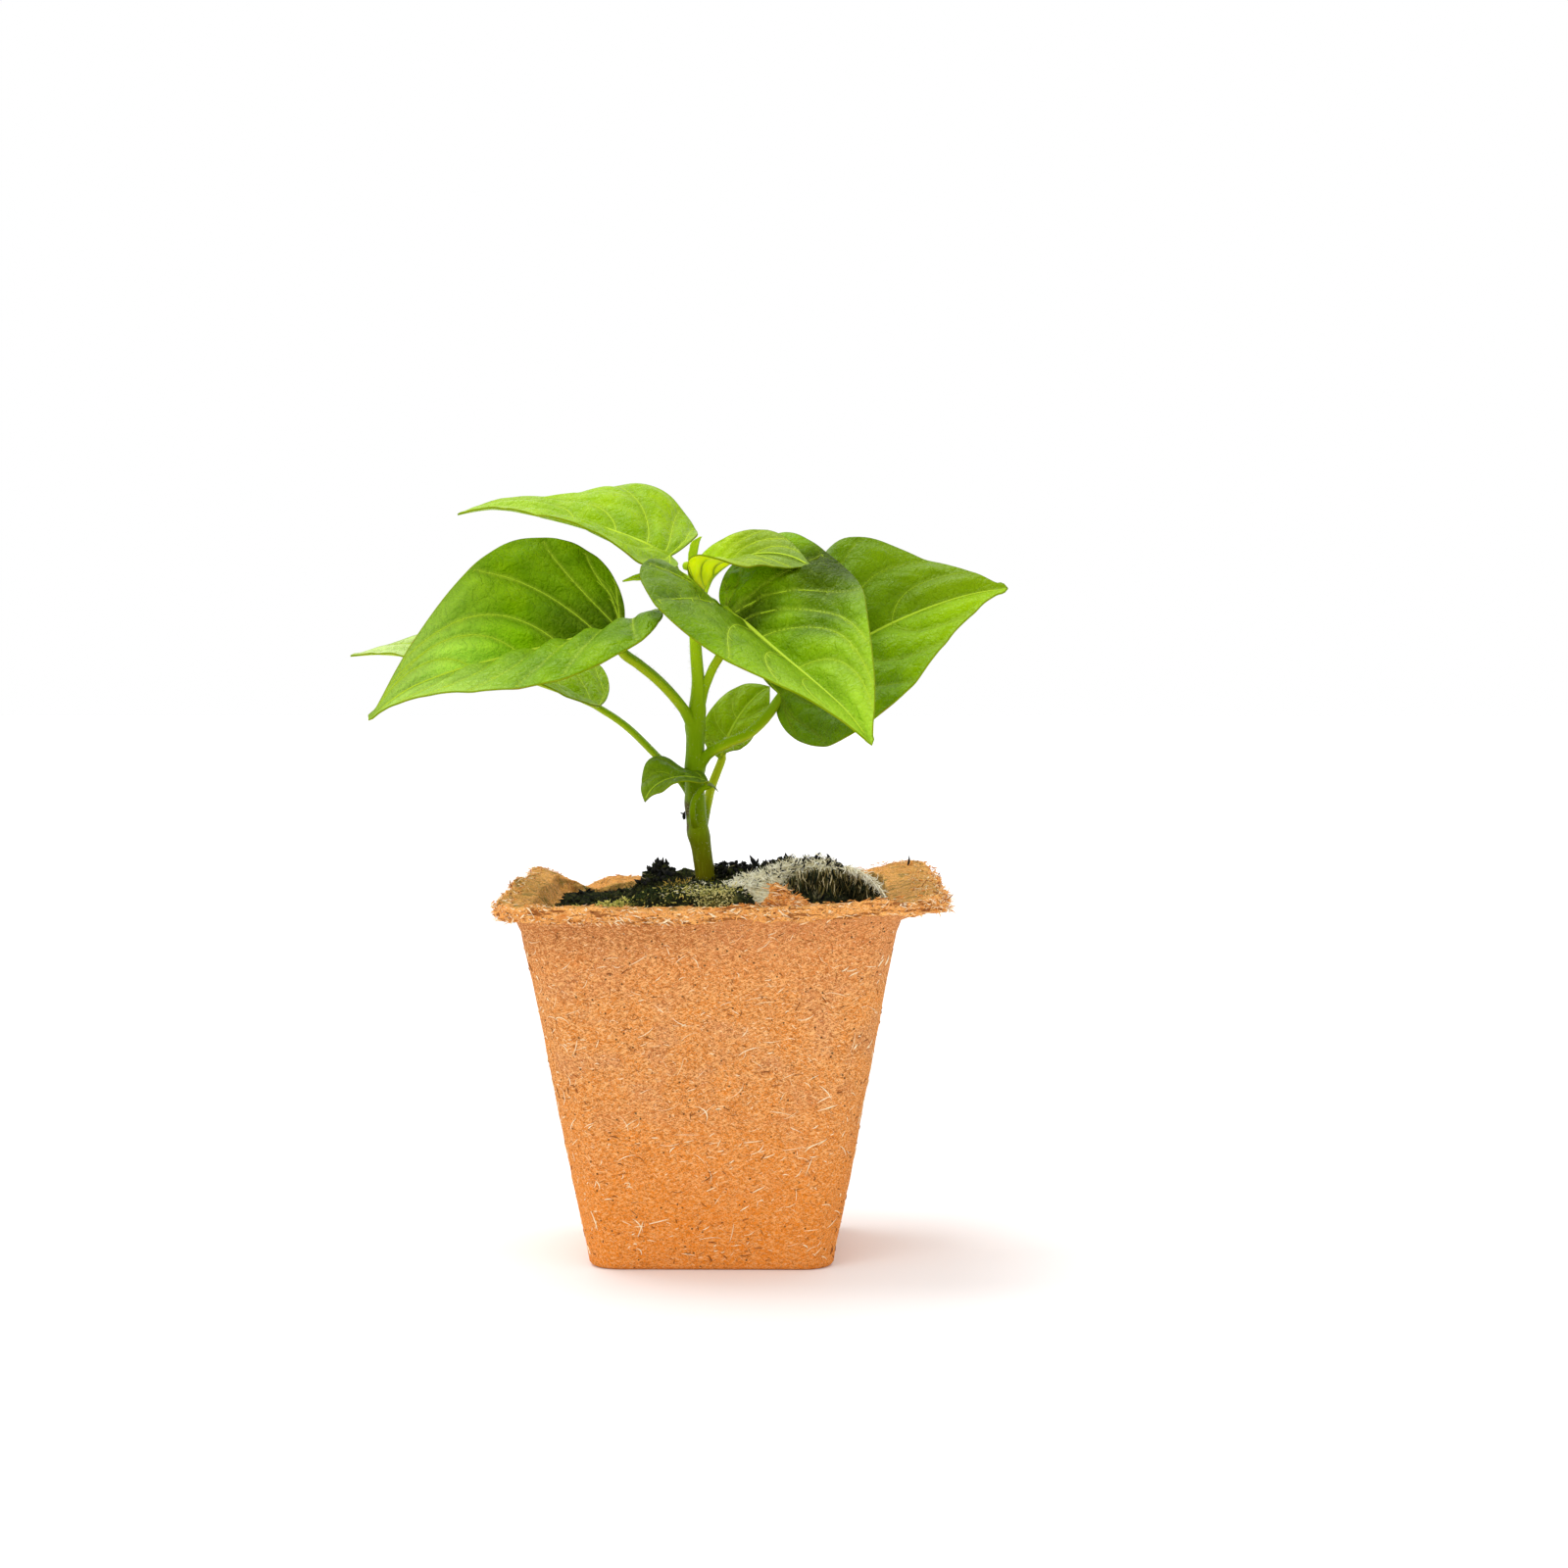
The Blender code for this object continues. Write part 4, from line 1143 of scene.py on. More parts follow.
stalkLook = {
    "mid": (0.165, 0.285, 0.0), "low": (0.115, 0.100, 0.0), "high": (0.47, 0.68, 0.01),
    "pale": (0.33, 0.43, 0.02), "dark": (0.10, 0.19, 0.0), "purple": (0.075, 0.022, 0.018),
    # Heights where the low colour ends and where the high one begins
    "lowTo": (0.082, 0.105),
    "highFrom": (0.112, 0.140),
    # Middle and radius of each purple brown patch
    "patches": (((-6.3, -1.3, 98.5), 2.6), ((-4.7, -2.3, 95.9), 0.9), ((-6.2, -0.5, 94.5), 1.6)),
    # Reflections on green parts take on some of the green
    "gloss": (0.55, 0.85, 0.12, 1),
}


def greenSurface(name, roughness, shine, glow, radius=(0.5, 0.8, 0.1), depth=0.6):
    return Surface(
        name, Roughness=roughness, Specular_IOR_Level=shine, Specular_Tint=stalkLook["gloss"],
        Subsurface_Weight=glow, Subsurface_Radius=radius, Subsurface_Scale=depth * mm,
    )


def stemColour(skin):
    look = stalkLook
    height = skin.axes(skin.coords)[2]
    colour = skin.mix(skin.mask(height, *look["lowTo"]), look["low"], look["mid"])
    return skin.mix(skin.mask(height, *look["highFrom"]), colour, look["high"])


def stalkMaterial():
    look = stalkLook
    skin = greenSurface("stalkSkin", 0.45, 0.22, 0.10, depth=1.0)
    skin.colour = stemColour(skin)
    streaks = skin.noise(0.5, coords=skin.mapped((1, 1, 9)))
    skin.over(look["pale"], streaks, 0.50, 0.75, 0.30)
    skin.over(look["dark"], streaks, 0.46, 0.25, 0.25)
    for place, radius in look["patches"]:
        offset = skin.vector("DISTANCE", skin.coords, [value * mm for value in place], "Value")
        skin.over(look["purple"], offset, radius * mm, radius * 0.35 * mm, 0.75)
    return skin.done(streaks, 0.2, 0.08)


finishPiece("stemSkin", stemMesh(), [stalkMaterial()], ["stem"])
print("stem grown")


# Leaves: each blade is the frame's own outline and folds, with its veins and the quilting
# between them. Pairs are for the left and the right half

leafForm = {
    "halfShare": 0.55, "fan": 0.30, "rows": 104, "columns": 40, "thickness": 0.40,
    # Height and reach of the quilting between the main veins and between the small ones
    "quilt": 1.1, "quiltWidth": 2.4, "smallQuilt": 0.42, "smallWidth": 1.2,
    # Within this distance of the midrib the quilting dies out, and the crease is rounded
    "ribCalm": (5.0, 5.0), "creaseSoft": 1.8,
    "tipRadius": 0.55, "edgeRipple": 0.16,
    # A channel along the top of the petiole, and the midrib's places and taper
    "groove": 0.16,
    "ribShares": (0.0, 0.06, 0.15, 0.28, 0.42, 0.56, 0.70, 0.83, 0.95),
    "ribTaper": (0.92, 0.78, 0.62, 0.48, 0.36, 0.27, 0.20, 0.14, 0.08),
    "vein": (0.19, 0.13), "rung": 0.10,
    # How far out the side veins reach, in how many steps, and points along the midrib
    "veinReach": 0.94, "veinSteps": 26, "ribSteps": 60,
    "seed": 100,
}
leaves = {
    "leaf_left_front": dict(
        base=(-20.3, -8.0, 138.1), heading=206, rise=-16, droop=-10, hook=37, swing=0,
        roll=-21, twist=-35, length=61.5, widest=0.26, point=0.10,
        width=(28, 25.5), lobe=(4.2, 3), fold=(46, 38), curl=(-48, 16), wave=(1.1, -0.3),
        waves=2.5, phase=-0.21, stalkRadius=1.15,
        stalk=((-4.2, -0.2, 116.5), (-6.7, -1.8, 120.7), (-9.6, -3.4, 124.4),
               (-12.8, -5, 127.7), (-16.4, -6.6, 130.7), (-20, -7.8, 133.6)),
        veins=(((0.14, 0.26), (0.207, 0.47), (0.36, 0.62), (0.47, 0.70), (0.565, 0.78), (0.68, 0.86),
                (0.78, 0.92)),
               ((0.12, 0.24), (0.189, 0.382), (0.31, 0.50), (0.386, 0.66), (0.504, 0.854),
                (0.613, 0.918), (0.74, 0.96))),
    ),
    "leaf_left_back": dict(
        base=(-26.6, 12.0, 121.3), heading=177, rise=21, droop=16, hook=10, swing=-7,
        roll=-13, twist=-1, length=59.5, widest=0.38, point=0.20,
        width=(21, 21), lobe=(1.4, 1), fold=(15, 15), curl=(0, 5), wave=(0.7, -0.4),
        waves=2.5, phase=0.0, stalkRadius=0.85,
        stalk=((-3.9, 0.4, 99.5), (-7.4, 2.2, 104.4), (-13.4, 5, 110.4), (-20, 9, 116.5)),
    ),
    "leaf_top_left": dict(
        base=(-10.4, 9.0, 155.1), heading=169, rise=25, droop=21, hook=17, swing=5,
        roll=-29, twist=16, length=51, widest=0.28, point=0.23,
        width=(20, 22), lobe=(4, 1), fold=(15, 11), curl=(11, -22), wave=(0.9, 3.0),
        waves=2.5, phase=-0.14, stalkRadius=0.75,
        stalk=((-4.3, 0.3, 138), (-6.2, 3, 143.8), (-7.9, 6.5, 149.6)),
        veins=(((0.15, 0.27), (0.27, 0.42), (0.38, 0.56), (0.50, 0.70), (0.62, 0.82), (0.76, 0.92)),
               ((0.14, 0.26), (0.23, 0.36), (0.327, 0.454), (0.407, 0.606), (0.521, 0.85), (0.66, 0.93))),
    ),
    "leaf_front": dict(
        base=(2.3, -6.0, 142.3), heading=-47, rise=-31, droop=-11, hook=19, swing=-7,
        roll=13, twist=14, length=58, widest=0.17, point=0.40,
        width=(26.5, 28.5), lobe=(7.5, 10.6), fold=(42, 50), curl=(-23, -48), wave=(2.4, -0.8),
        waves=2.8, phase=0.11, stalkRadius=1.0, ruffle=(1.0, 0.8), dim=(0,), tipRadius=0.9,
        calm=(5, 16), smooth=(1, 0.5), ribRise=1.2,
        stalk=((-3.8, 0.3, 120), (-2.2, 0.4, 125.2), (-0.3, -1.2, 129.8),
               (1.5, -3, 132.9), (2.8, -5, 137.6)),
        veins=(((0.16, 0.14), (0.267, 0.25), (0.334, 0.505), (0.345, 0.65), (0.40, 0.80), (0.50, 0.88),
                (0.674, 0.93)),
               ((0.16, 0.16), (0.26, 0.34), (0.36, 0.52), (0.464, 0.714), (0.607, 0.81), (0.734, 0.90))),
    ),
    "leaf_right": dict(
        base=(14.7, 5.9, 123.8), heading=-5, rise=39, droop=26, hook=5, swing=-3,
        roll=68, twist=-24, length=57, widest=0.33, point=0.30,
        width=(26, 25), lobe=(0.5, 4.4), fold=(11, 9), curl=(-27, 14), wave=(-5, 0.5),
        waves=3.1, phase=-0.29, stalkRadius=1.15, dim=(1,), tipRadius=1.1,
        stalk=((-4.4, -0.2, 107), (-1.6, -1.2, 110.4), (0.7, -1.2, 112), (4, -0.8, 113.5),
               (7.3, 0.2, 115), (10.1, 1.8, 117.3), (12.2, 3.2, 119.7)),
    ),
    "leaf_top_right": dict(
        base=(-2.3, -0.5, 146.4), heading=-17, rise=59, droop=96, hook=-8, swing=0,
        roll=26, twist=5, length=28.7, widest=0.37, point=0.30,
        width=(8, 10), lobe=(0.9, -1.8), fold=(43, 88), unfold=(22, 110), curl=(-2, -1),
        wave=(0.3, 1.3), waves=2.8, phase=0.07, stalkRadius=0.6,
        stalk=((-4.4, 0, 139.5), (-3.6, -0.2, 143)),
    ),
    "seed_leaf_front": dict(
        base=(-0.6, -4.5, 104.1), heading=202, rise=28, droop=72, hook=28, swing=3,
        fan=0, roll=-16, twist=-6, length=18, widest=0.5, point=0.5,
        width=(5, 7), lobe=(-1, -1), fold=(8, 12), curl=(1, -3), wave=(0.5, 2.0),
        waves=2.4, phase=-0.19, stalkRadius=0.7,
        stalk=((-3.5, 0, 92.5), (-4.7, -3.4, 97), (-4.3, -4.2, 100.5), (-2.4, -4.5, 103.2)),
    ),
    "seed_leaf_back": dict(
        base=(1.0, 9.0, 108.9), heading=22, rise=75, droop=39, hook=10, swing=4,
        fan=0, roll=39, twist=-3, length=21.3, widest=0.43, point=0.91,
        width=(7.2, 6.5), lobe=(-0.9, -2.9), fold=(3, 7), curl=(-5, -1), wave=(0.5, -0.2),
        waves=2.4, phase=0.0, stalkRadius=1.0,
        stalk=((-3.4, 0.5, 92.6), (-1.9, 4.6, 98.5), (-0.9, 7.2, 103.0)),
    ),
}

# Where side veins leave the midrib and where they end, as shares of the half's outline
usualVeins = ((0.15, 0.26), (0.24, 0.38), (0.34, 0.52), (0.44, 0.66), (0.56, 0.78), (0.70, 0.89))
seedVeins = ((0.12, 0.34), (0.32, 0.58), (0.54, 0.80))


def bezierPoint(points, share):
    rest = 1 - share
    weights = (rest ** 3, 3 * rest * rest * share, 3 * rest * share * share, share ** 3)
    return tuple(sum(point[axis] * weight for point, weight in zip(points, weights)) for axis in (0, 1))


def marginPoint(leaf, side, along):
    length, width, lobe = leaf["length"], leaf["width"][side], leaf["lobe"][side]
    widest = leaf["widest"] * length
    half = leafForm["halfShare"]
    if along < half:
        arc = ((0, 0), (-1.55 * lobe, 0.1 * width),
               (widest - 0.42 * length - 0.25 * lobe, width), (widest, width))
        return bezierPoint(arc, along / half)
    arc = ((widest, width), (widest + 0.3 * length, width),
           (0.8 * length, leaf["point"] * width), (length, 0))
    x, y = bezierPoint(arc, (along - half) / (1 - half))
    blunt = leaf.get("tipRadius", leafForm["tipRadius"]) * min(length / 50, 1)
    return x, max(y, min(sqrt(2 * blunt * max(length - x, 0)), 1.6 * blunt))


def midribFrames(leaf):
    steps = leafForm["ribSteps"]
    frames = []
    point = Vector(leaf["base"])
    before = None
    for step in range(steps + 1):
        share = step / steps
        rise = leaf["rise"] - leaf["droop"] * share - leaf["hook"] * share ** 4
        forward = Vector(headingWay(leaf["heading"] + leaf["swing"] * share, rise))
        if before:
            point = point + (before + forward) * (leaf["length"] / steps / 2)
        before = forward
        levelUp = (Vector((0, 0, 1)) - forward * forward.z).normalized()
        levelLeft = levelUp.cross(forward)
        roll = radians(leaf["roll"] + leaf["twist"] * share)
        left = levelLeft * cos(roll) + levelUp * sin(roll)
        up = levelUp * cos(roll) - levelLeft * sin(roll)
        frames.append((point.copy(), forward, left, up))
    return frames


def frameAt(leaf, frames, x):
    steps = len(frames) - 1
    place = min(max(x / leaf["length"], 0), 1) * steps
    low = min(int(place), steps - 1)
    point, forward, left, up = (a.lerp(b, place - low) for a, b in zip(frames[low], frames[low + 1]))
    past = min(x, 0) + max(x - leaf["length"], 0)
    return point + forward * past, left, up


def flatPoint(leaf, side, out, along):
    # Place on the blade laid flat: along the midrib, and out from it
    marginX, marginY = marginPoint(leaf, side, along)
    fan = leaf.get("fan", leafForm["fan"])
    startX = leaf["length"] * max((along - fan) / (1 - fan), 0) ** 1.15
    handleX = startX + 0.3 * (marginX - startX)
    rest = 1 - out
    return (
        startX * rest * rest + handleX * 2 * out * rest + marginX * out * out,
        0.62 * marginY * 2 * out * rest + marginY * out * out,
    )


def bladePoint(leaf, frames, side, flat, along, rise=0.0):
    # The folded blade's point and its upward normal, raised by rise
    x, y = flat
    width = leaf["width"][side]
    share = x / leaf["length"]
    opened = leaf.get("unfold", (0, 0))[side] * min(max(share, 0), 1) ** 0.7
    fold = radians(leaf["fold"][side] - opened)
    bend = radians(leaf["curl"][side]) / width
    if abs(bend) < 1e-5:
        bend = 1e-5
    angle = fold + bend * y
    reach = (sin(angle) - sin(fold)) / bend
    lift = (cos(fold) - cos(angle)) / bend
    soft = leafForm["creaseSoft"] * min(leaf["length"] / 50, 1) * smoothStep(0, 0.15, share)
    soft *= smoothStep(1, 0.8, share)
    lift += sin(fold) * (sqrt(y * y + soft * soft) - y)
    turn = 2 * pi * (leaf["waves"] * along + leaf["phase"])
    if y > 0:
        rise += leaf["wave"][side] * sin(turn) * min(y / width, 1) ** 1.5
    point, left, up = frameAt(leaf, frames, x)
    outward = left if side == 0 else -left
    normal = up * cos(angle) - outward * sin(angle)
    return point + outward * reach + up * lift + normal * rise, normal


def lateralPath(vein, steps=leafForm["veinSteps"]):
    # Out and along on the way of one side vein
    path = []
    for step in range(steps + 1):
        share = step / steps
        along = between(*vein, smoothStep(0, 1, share) * 0.6 + share * 0.4)
        path.append((share * leafForm["veinReach"], along))
    return path


def crossPaths(veins, rng):
    # Small veins: rungs from each side vein to the next, and arches near the margin
    paths = []
    steps = leafForm["veinSteps"]
    ways = [lateralPath(vein) for vein in veins]
    for low, high in zip(ways, ways[1:]):
        for place in (0.40, 0.66):
            a = int(steps * (place + rng.uniform(-0.07, 0.07)))
            b = int(steps * min(place + rng.uniform(-0.02, 0.16), 0.98))
            kink = rng.uniform(-0.05, 0.05)
            path = []
            for step in range(9):
                share = step / 8
                out = between(low[a][0], high[b][0], share) + kink * sin(pi * share)
                path.append((min(out, 0.95), between(low[a][1], high[b][1], share)))
            paths.append(path)
            if place > 0.5:
                # A branch that leaves the rung half way and dies out towards the margin
                out, along = path[4]
                reach = rng.uniform(0.08, 0.15)
                lean = rng.uniform(-0.02, 0.03)
                paths.append([
                    (min(out + reach * step / 5, 0.96), along + lean * step / 5 + 0.004 * sin(step))
                    for step in range(6)
                ])
    for low, high in zip(ways, ways[1:]):
        last, meet = low[-1], high[steps - 4]
        paths.append([
            (between(last[0], meet[0], step / 8) + 0.035 * sin(pi * step / 8),
             between(last[1], meet[1], step / 8))
            for step in range(9)
        ])
    return paths


def samplesOf(leaf, side, path, step=0.25):
    # Points close together along a way, on the flat blade
    points = []
    flats = [flatPoint(leaf, side, out, along) for out, along in path]
    for a, b in zip(flats, flats[1:]):
        count = max(int(dist(a, b) / step), 1)
        points += [(between(a[0], b[0], k / count), between(a[1], b[1], k / count)) for k in range(count)]
    return points + [flats[-1]]


def treeOf(points):
    tree = KDTree(len(points))
    for index, (x, y) in enumerate(points):
        tree.insert((x, y, 0), index)
    tree.balance()
    return tree


def veinTrees(leaf, side, ways, rungs):
    # For the distances to the main veins, to any vein and to the margin
    main = [(leaf["length"] * k / 240, 0) for k in range(241)]
    for way in ways:
        main += samplesOf(leaf, side, way)
    small = list(main)
    for rung in rungs:
        small += samplesOf(leaf, side, rung)
    return treeOf(main), treeOf(small), treeOf([marginPoint(leaf, side, k / 400) for k in range(401)])


def bladeMesh(leaf, frames, ways, rungs, size):
    form = leafForm
    length = leaf["length"]
    scale = min(length / 55, 1)
    trees = [veinTrees(leaf, side, ways[side], rungs[side]) for side in (0, 1)]
    bm = bmesh.new()
    names = ("mainGap", "smallGap", "edgeGap", "toTip", "half", "ribGap")
    layers = [bm.verts.layers.float.new(name) for name in names]
    bmesh.ops.create_grid(
        bm, x_segments=2 * max(int(form["columns"] * size), 14), y_segments=max(int(form["rows"] * size), 30),
        size=1,
    )
    for vert in bm.verts:
        across = vert.co.x
        side = 0 if across < 0 else 1
        out = abs(across)
        along = (vert.co.y + 1) / 2
        ripple = form["edgeRipple"] * noiseAt(along * 60, side * 30, length, 2.2) / leaf["width"][side]
        x, y = flatPoint(leaf, side, out * (1 + ripple * out), along)
        mainGap, smallGap, edgeGap = (tree.find((x, y, 0))[2] for tree in trees[side])
        quilt = form["quilt"] * scale * (1 - exp(-(mainGap / (form["quiltWidth"] * scale)) ** 2))
        quilt += form["smallQuilt"] * scale * (1 - exp(-(smallGap / form["smallWidth"]) ** 2))
        quilt += 0.35 * scale * noiseAt(x, y, length, 5) * smoothStep(0, 2, mainGap)
        calm = leaf.get("calm", form["ribCalm"])[side] * scale
        quilt *= 0.15 + 0.85 * smoothStep(0, calm, y)
        quilt *= leaf.get("smooth", (1, 1))[side]
        ruffle = leaf.get("ruffle", (0, 0))[side] * smoothStep(0.30, 0.12, x / length)
        quilt += ruffle * noiseAt(x, y, side * 9, 3.6)
        quilt *= 0.25 + 0.75 * smoothStep(0, 3 * scale, edgeGap)
        vert.co = bladePoint(leaf, frames, side, (x, y), along, quilt)[0] * mm
        for layer, value in zip(layers, (mainGap, smallGap, edgeGap, x / length, across, y)):
            vert[layer] = value
    bmesh.ops.remove_doubles(bm, verts=bm.verts, dist=0.01 * mm)
    return bm


def addVein(bm, leaf, frames, side, way, thick, above, sides):
    half = leafForm["thickness"] / 2
    shift = half + 0.10 - thick * 0.8 if above else -half + thick * 0.4
    flats = [flatPoint(leaf, side, out, along) for out, along in way]
    path = [bladePoint(leaf, frames, side, flat, step[1], shift)[0] for flat, step in zip(flats, way)]
    radii = [thick * between(1.0, 0.55, step / (len(path) - 1)) for step in range(len(path))]
    radii[-1] = thick * 0.2
    normal = bladePoint(leaf, frames, side, flats[0], way[0][1])[1]
    # Veins of a half whose base lies in the shade of another leaf are darker there
    dim = int(side in leaf.get("dim", ()) and way[len(way) // 2][1] < 0.47)
    sweepTube(bm, path, radii, sides, up=normal, material=dim)


def stalkSection(way):
    # A shallow channel along the top with a ridge at each side
    off = abs((way - 90 + 180) % 360 - 180)
    return 1 - leafForm["groove"] * exp(-(off / 24) ** 2) + 0.08 * exp(-((off - 48) / 16) ** 2)


def veinMesh(leaf, frames, ways, rungs, size):
    # Petiole, midrib and side veins in one piece
    form = leafForm
    bm = bmesh.new()
    radius = leaf["stalkRadius"]
    ribRadii = [max(radius * taper, 0.14) for taper in form["ribTaper"]]
    points = [Vector(point) for point in leaf["stalk"]]
    for share, thick in zip(form["ribShares"], ribRadii):
        place = share * leaf["length"]
        up = frameAt(leaf, frames, place)[2]
        lift = form["thickness"] / 2 + 0.12 - thick + leaf.get("ribRise", 0) * thick
        points.append(bladePoint(leaf, frames, 0, (place, 0), share)[0] + up * lift)
    perSpan = 7
    path = smoothPath(points, perSpan)
    count = len(leaf["stalk"])
    foot = [radius * 1.55, radius * 1.02] + [radius] * (count - 2) if count > 2 else [radius * 1.3, radius]
    radii = spread(foot + ribRadii, len(path))
    radii[-1] = 0.03
    for side in (0, 1):
        for index, way in enumerate(ways[side]):
            thick = between(*form["vein"], index / len(ways[side])) * (0.5 + 0.5 * size)
            addVein(bm, leaf, frames, side, way, thick, True, 5)
            addVein(bm, leaf, frames, side, way, thick * 1.5, False, 5)
        for rung in rungs[side]:
            addVein(bm, leaf, frames, side, rung, form["rung"] * (0.6 + 0.4 * size), True, 4)
    veinCount = len(bm.verts)
    sweepTube(bm, path, radii, 18 if size > 0.5 else 12, up=frames[0][3], section=stalkSection)
    stalkLayer, ribLayer = (bm.verts.layers.float.new(name) for name in ("stalk", "rib"))
    bm.verts.ensure_lookup_table()
    base = Vector(leaf["base"])
    for vert in bm.verts[veinCount:]:
        place = vert.co / mm
        nearest = min(range(len(path)), key=lambda index: (path[index] - place).length)
        onRib = nearest >= count * perSpan
        vert[stalkLayer] = 1 - smoothStep(0, 8, (place - base).length) if onRib else 1
        vert[ribLayer] = 1
    return bm


# Colours of each leaf: the young ones are yellower. Pairs are for the left and the right half:
# painted shade or painted light that scales the colour of the whole half as it faces the light, of its base,
# of the valley beside the midrib, of the crease at the base, and of the strip along the margin where the
# painted shadow of the leaf above falls
leafTints = {
    "leaf_left_front": dict(
        mid=(0.150, 0.300, 0.0), dark=(0.085, 0.195, 0.0), light=(0.27, 0.46, 0.0), tip=(0.42, 0.63, 0.11),
        halfShade=(1.10, 1.05), base=(0.82, 0.80), valleyLight=(1.0, 1.75), creaseShade=(1, 0.55), veinFade=0.3),
    "leaf_left_back": dict(
        mid=(0.33, 0.53, 0.0), dark=(0.22, 0.40, 0.0), light=(0.44, 0.62, 0.01), tip=(0.62, 0.76, 0.30),
        under=(0.43, 0.58, 0.0)),
    "leaf_top_left": dict(
        mid=(0.29, 0.49, 0.0), dark=(0.19, 0.37, 0.0), light=(0.41, 0.62, 0.0), tip=(0.40, 0.60, 0.06)),
    "leaf_front": dict(
        mid=(0.155, 0.300, 0.0), dark=(0.07, 0.16, 0.0), light=(0.25, 0.44, 0.0), tip=(0.36, 0.58, 0.03),
        halfShade=(1.12, 1.05), base=(1.10, 0.62), marginShadow=(0.17, 1.0), veinFade=0.35),
    "leaf_right": dict(
        mid=(0.115, 0.225, 0.0), dark=(0.06, 0.13, 0.0), light=(0.19, 0.33, 0.0), tip=(0.22, 0.36, 0.0),
        halfShade=(0.92, 1.45), base=(0.95, 0.72), veinFade=0.75),
    # Its base is painted lighter, and its underside painted bright as painted light shining through the blade
    "leaf_top_right": dict(
        mid=(0.30, 0.45, 0.005), dark=(0.22, 0.37, 0.0), light=(0.42, 0.58, 0.02), tip=(0.27, 0.41, 0.10),
        under=(0.85, 0.95, 0.03), halfShade=(0.85, 0.85), base=(2.2, 2.2), glow=1.0),
    "seed_leaf_front": dict(
        mid=(0.12, 0.22, 0.0), dark=(0.085, 0.165, 0.0), light=(0.17, 0.28, 0.0), tip=(0.18, 0.28, 0.01),
        plainStalk=True, veinFade=0.8),
    "seed_leaf_back": dict(
        mid=(0.31, 0.48, 0.0), dark=(0.23, 0.39, 0.0), light=(0.38, 0.53, 0.02), tip=(0.28, 0.44, 0.0),
        stalk=(0.44, 0.50, 0.01), veinFade=0.6),
}
usualTint = dict(halfShade=(1, 1), base=(0.9, 0.9), valleyLight=(1, 1), marginShadow=(1, 1), creaseShade=(1, 1),
                 veinFade=0.45, glow=0.10, stalk=(0.21, 0.35, 0.0), stalkUnder=(0.38, 0.48, 0.01),
                 vein=(0.50, 0.68, 0.04), rim=(0.15, 0.19, 0.005))


def leafTopMaterial(name, tint):
    skin = greenSurface(name, 0.42, 0.25, 0.08, (0.5, 1.0, 0.05))
    names = ("toTip", "half", "mainGap", "ribGap", "edgeGap")
    toTip, side, mainGap, ribGap, edgeGap = (skin.attribute(name) for name in names)
    stops = ((0.30, tint["dark"]), (0.5, tint["mid"]), (0.75, tint["light"]))
    skin.start(skin.noise(8, 3, 0.5), stops)
    skin.lay(tint["mid"], 0.35)
    # Lighter towards the tip: partly the young tip's own colour, partly a painted sheen
    skin.over(tint["tip"], toTip, 0.35, 1.0, 0.85)
    # How much each part of the blade takes on its painted shade or painted light
    parts = {
        "halfShade": 1.0,
        "base": skin.mask(toTip, 0.50, 0.08),
        "valleyLight": skin.times(
            skin.mask(toTip, 0.20, 0.42), skin.mask(toTip, 0.85, 0.60), skin.mask(ribGap, 14, 3)),
        "marginShadow": skin.times(
            skin.mask(toTip, -0.05, 0.10), skin.mask(toTip, 0.62, 0.16), skin.mask(edgeGap, 21, 6)),
        "creaseShade": skin.times(skin.mask(toTip, 0.38, 0.22), skin.mask(ribGap, 12, 5)),
    }
    # Painted shade in the hollow just beside the veins, and pale on them
    shade = skin.mask(mainGap, 1.6, 0.5, 1, 0.86)
    for part, place in parts.items():
        shade = skin.times(shade, skin.blend(place, 1.0, skin.mask(side, -0.03, 0.03, *tint[part])))
    skin.colour = skin.vector("SCALE", skin.colour, shade)
    fade = 1 - tint["veinFade"]
    skin.over(tint["vein"], mainGap, 0.9, 0.1, 0.35 * fade)
    # Smallest veins as an irregular net
    inputs = {"Vector": skin.coords, "Scale": 400.0, "Detail": 2.0}
    bent = skin.vector("SCALE", skin.add("TexNoise", inputs, "Color", normalize=False), 0.0016)
    wideNet = skin.cells(3.2, "DISTANCE_TO_EDGE", skin.vector("ADD", skin.coords, bent))
    skin.over(tint["vein"], wideNet, 0.05, 0.015, 0.12 * fade)
    mottle = skin.noise(0.9, 3, 0.6)
    skin.over(tint["light"], mottle, 0.52, 0.72, 0.12)
    skin.over(tint["dark"], mottle, 0.48, 0.30, 0.20)
    skin.over(tint["rim"], edgeGap, 0.25, 0.10, 0.4)
    rough = skin.mask(skin.noise(2.5), 0.3, 0.7, 0.34, 0.50)
    # The finest net of veins and the skin's cells
    net = skin.mask(skin.cells(1.1, "DISTANCE_TO_EDGE"), 0, 0.12)
    wide = skin.times(skin.mask(wideNet, 0, 0.30), 3.0)
    relief = skin.plus(net, skin.times(skin.noise(0.35, 2), 0.6), wide)
    return skin.done(relief, 0.55, 0.12, rough)


def leafUnderMaterial(name, tint):
    glow = tint["glow"]
    skin = greenSurface(name, 0.60, 0.25, glow, (0.7, 1.0, 0.1), 4 if glow == 1 else 0.6)
    usual = tuple(between(*pair, 0.4) for pair in zip(tint["light"], (0.33, 0.42, 0.06)))
    under = tint.get("under", usual)
    skin.colour = skin.mix(skin.noise(5), [0.8 * value for value in under], under)
    skin.over(tint["vein"], skin.attribute("smallGap"), 0.4, 0.1, 0.4)
    return skin.done(skin.cells(0.9, "DISTANCE_TO_EDGE"), 0.25, 0.12)


def edgeMaterial():
    skin = greenSurface("leafEdge", 0.7, 0.08, 0)
    tints = ((0.35, (0.18, 0.27, 0.0)), (0.55, (0.22, 0.30, 0.005)), (0.7, (0.24, 0.22, 0.01)))
    skin.start(skin.noise(3), tints)
    return skin.done(skin.noise(0.4, 2), 0.3, 0.1)


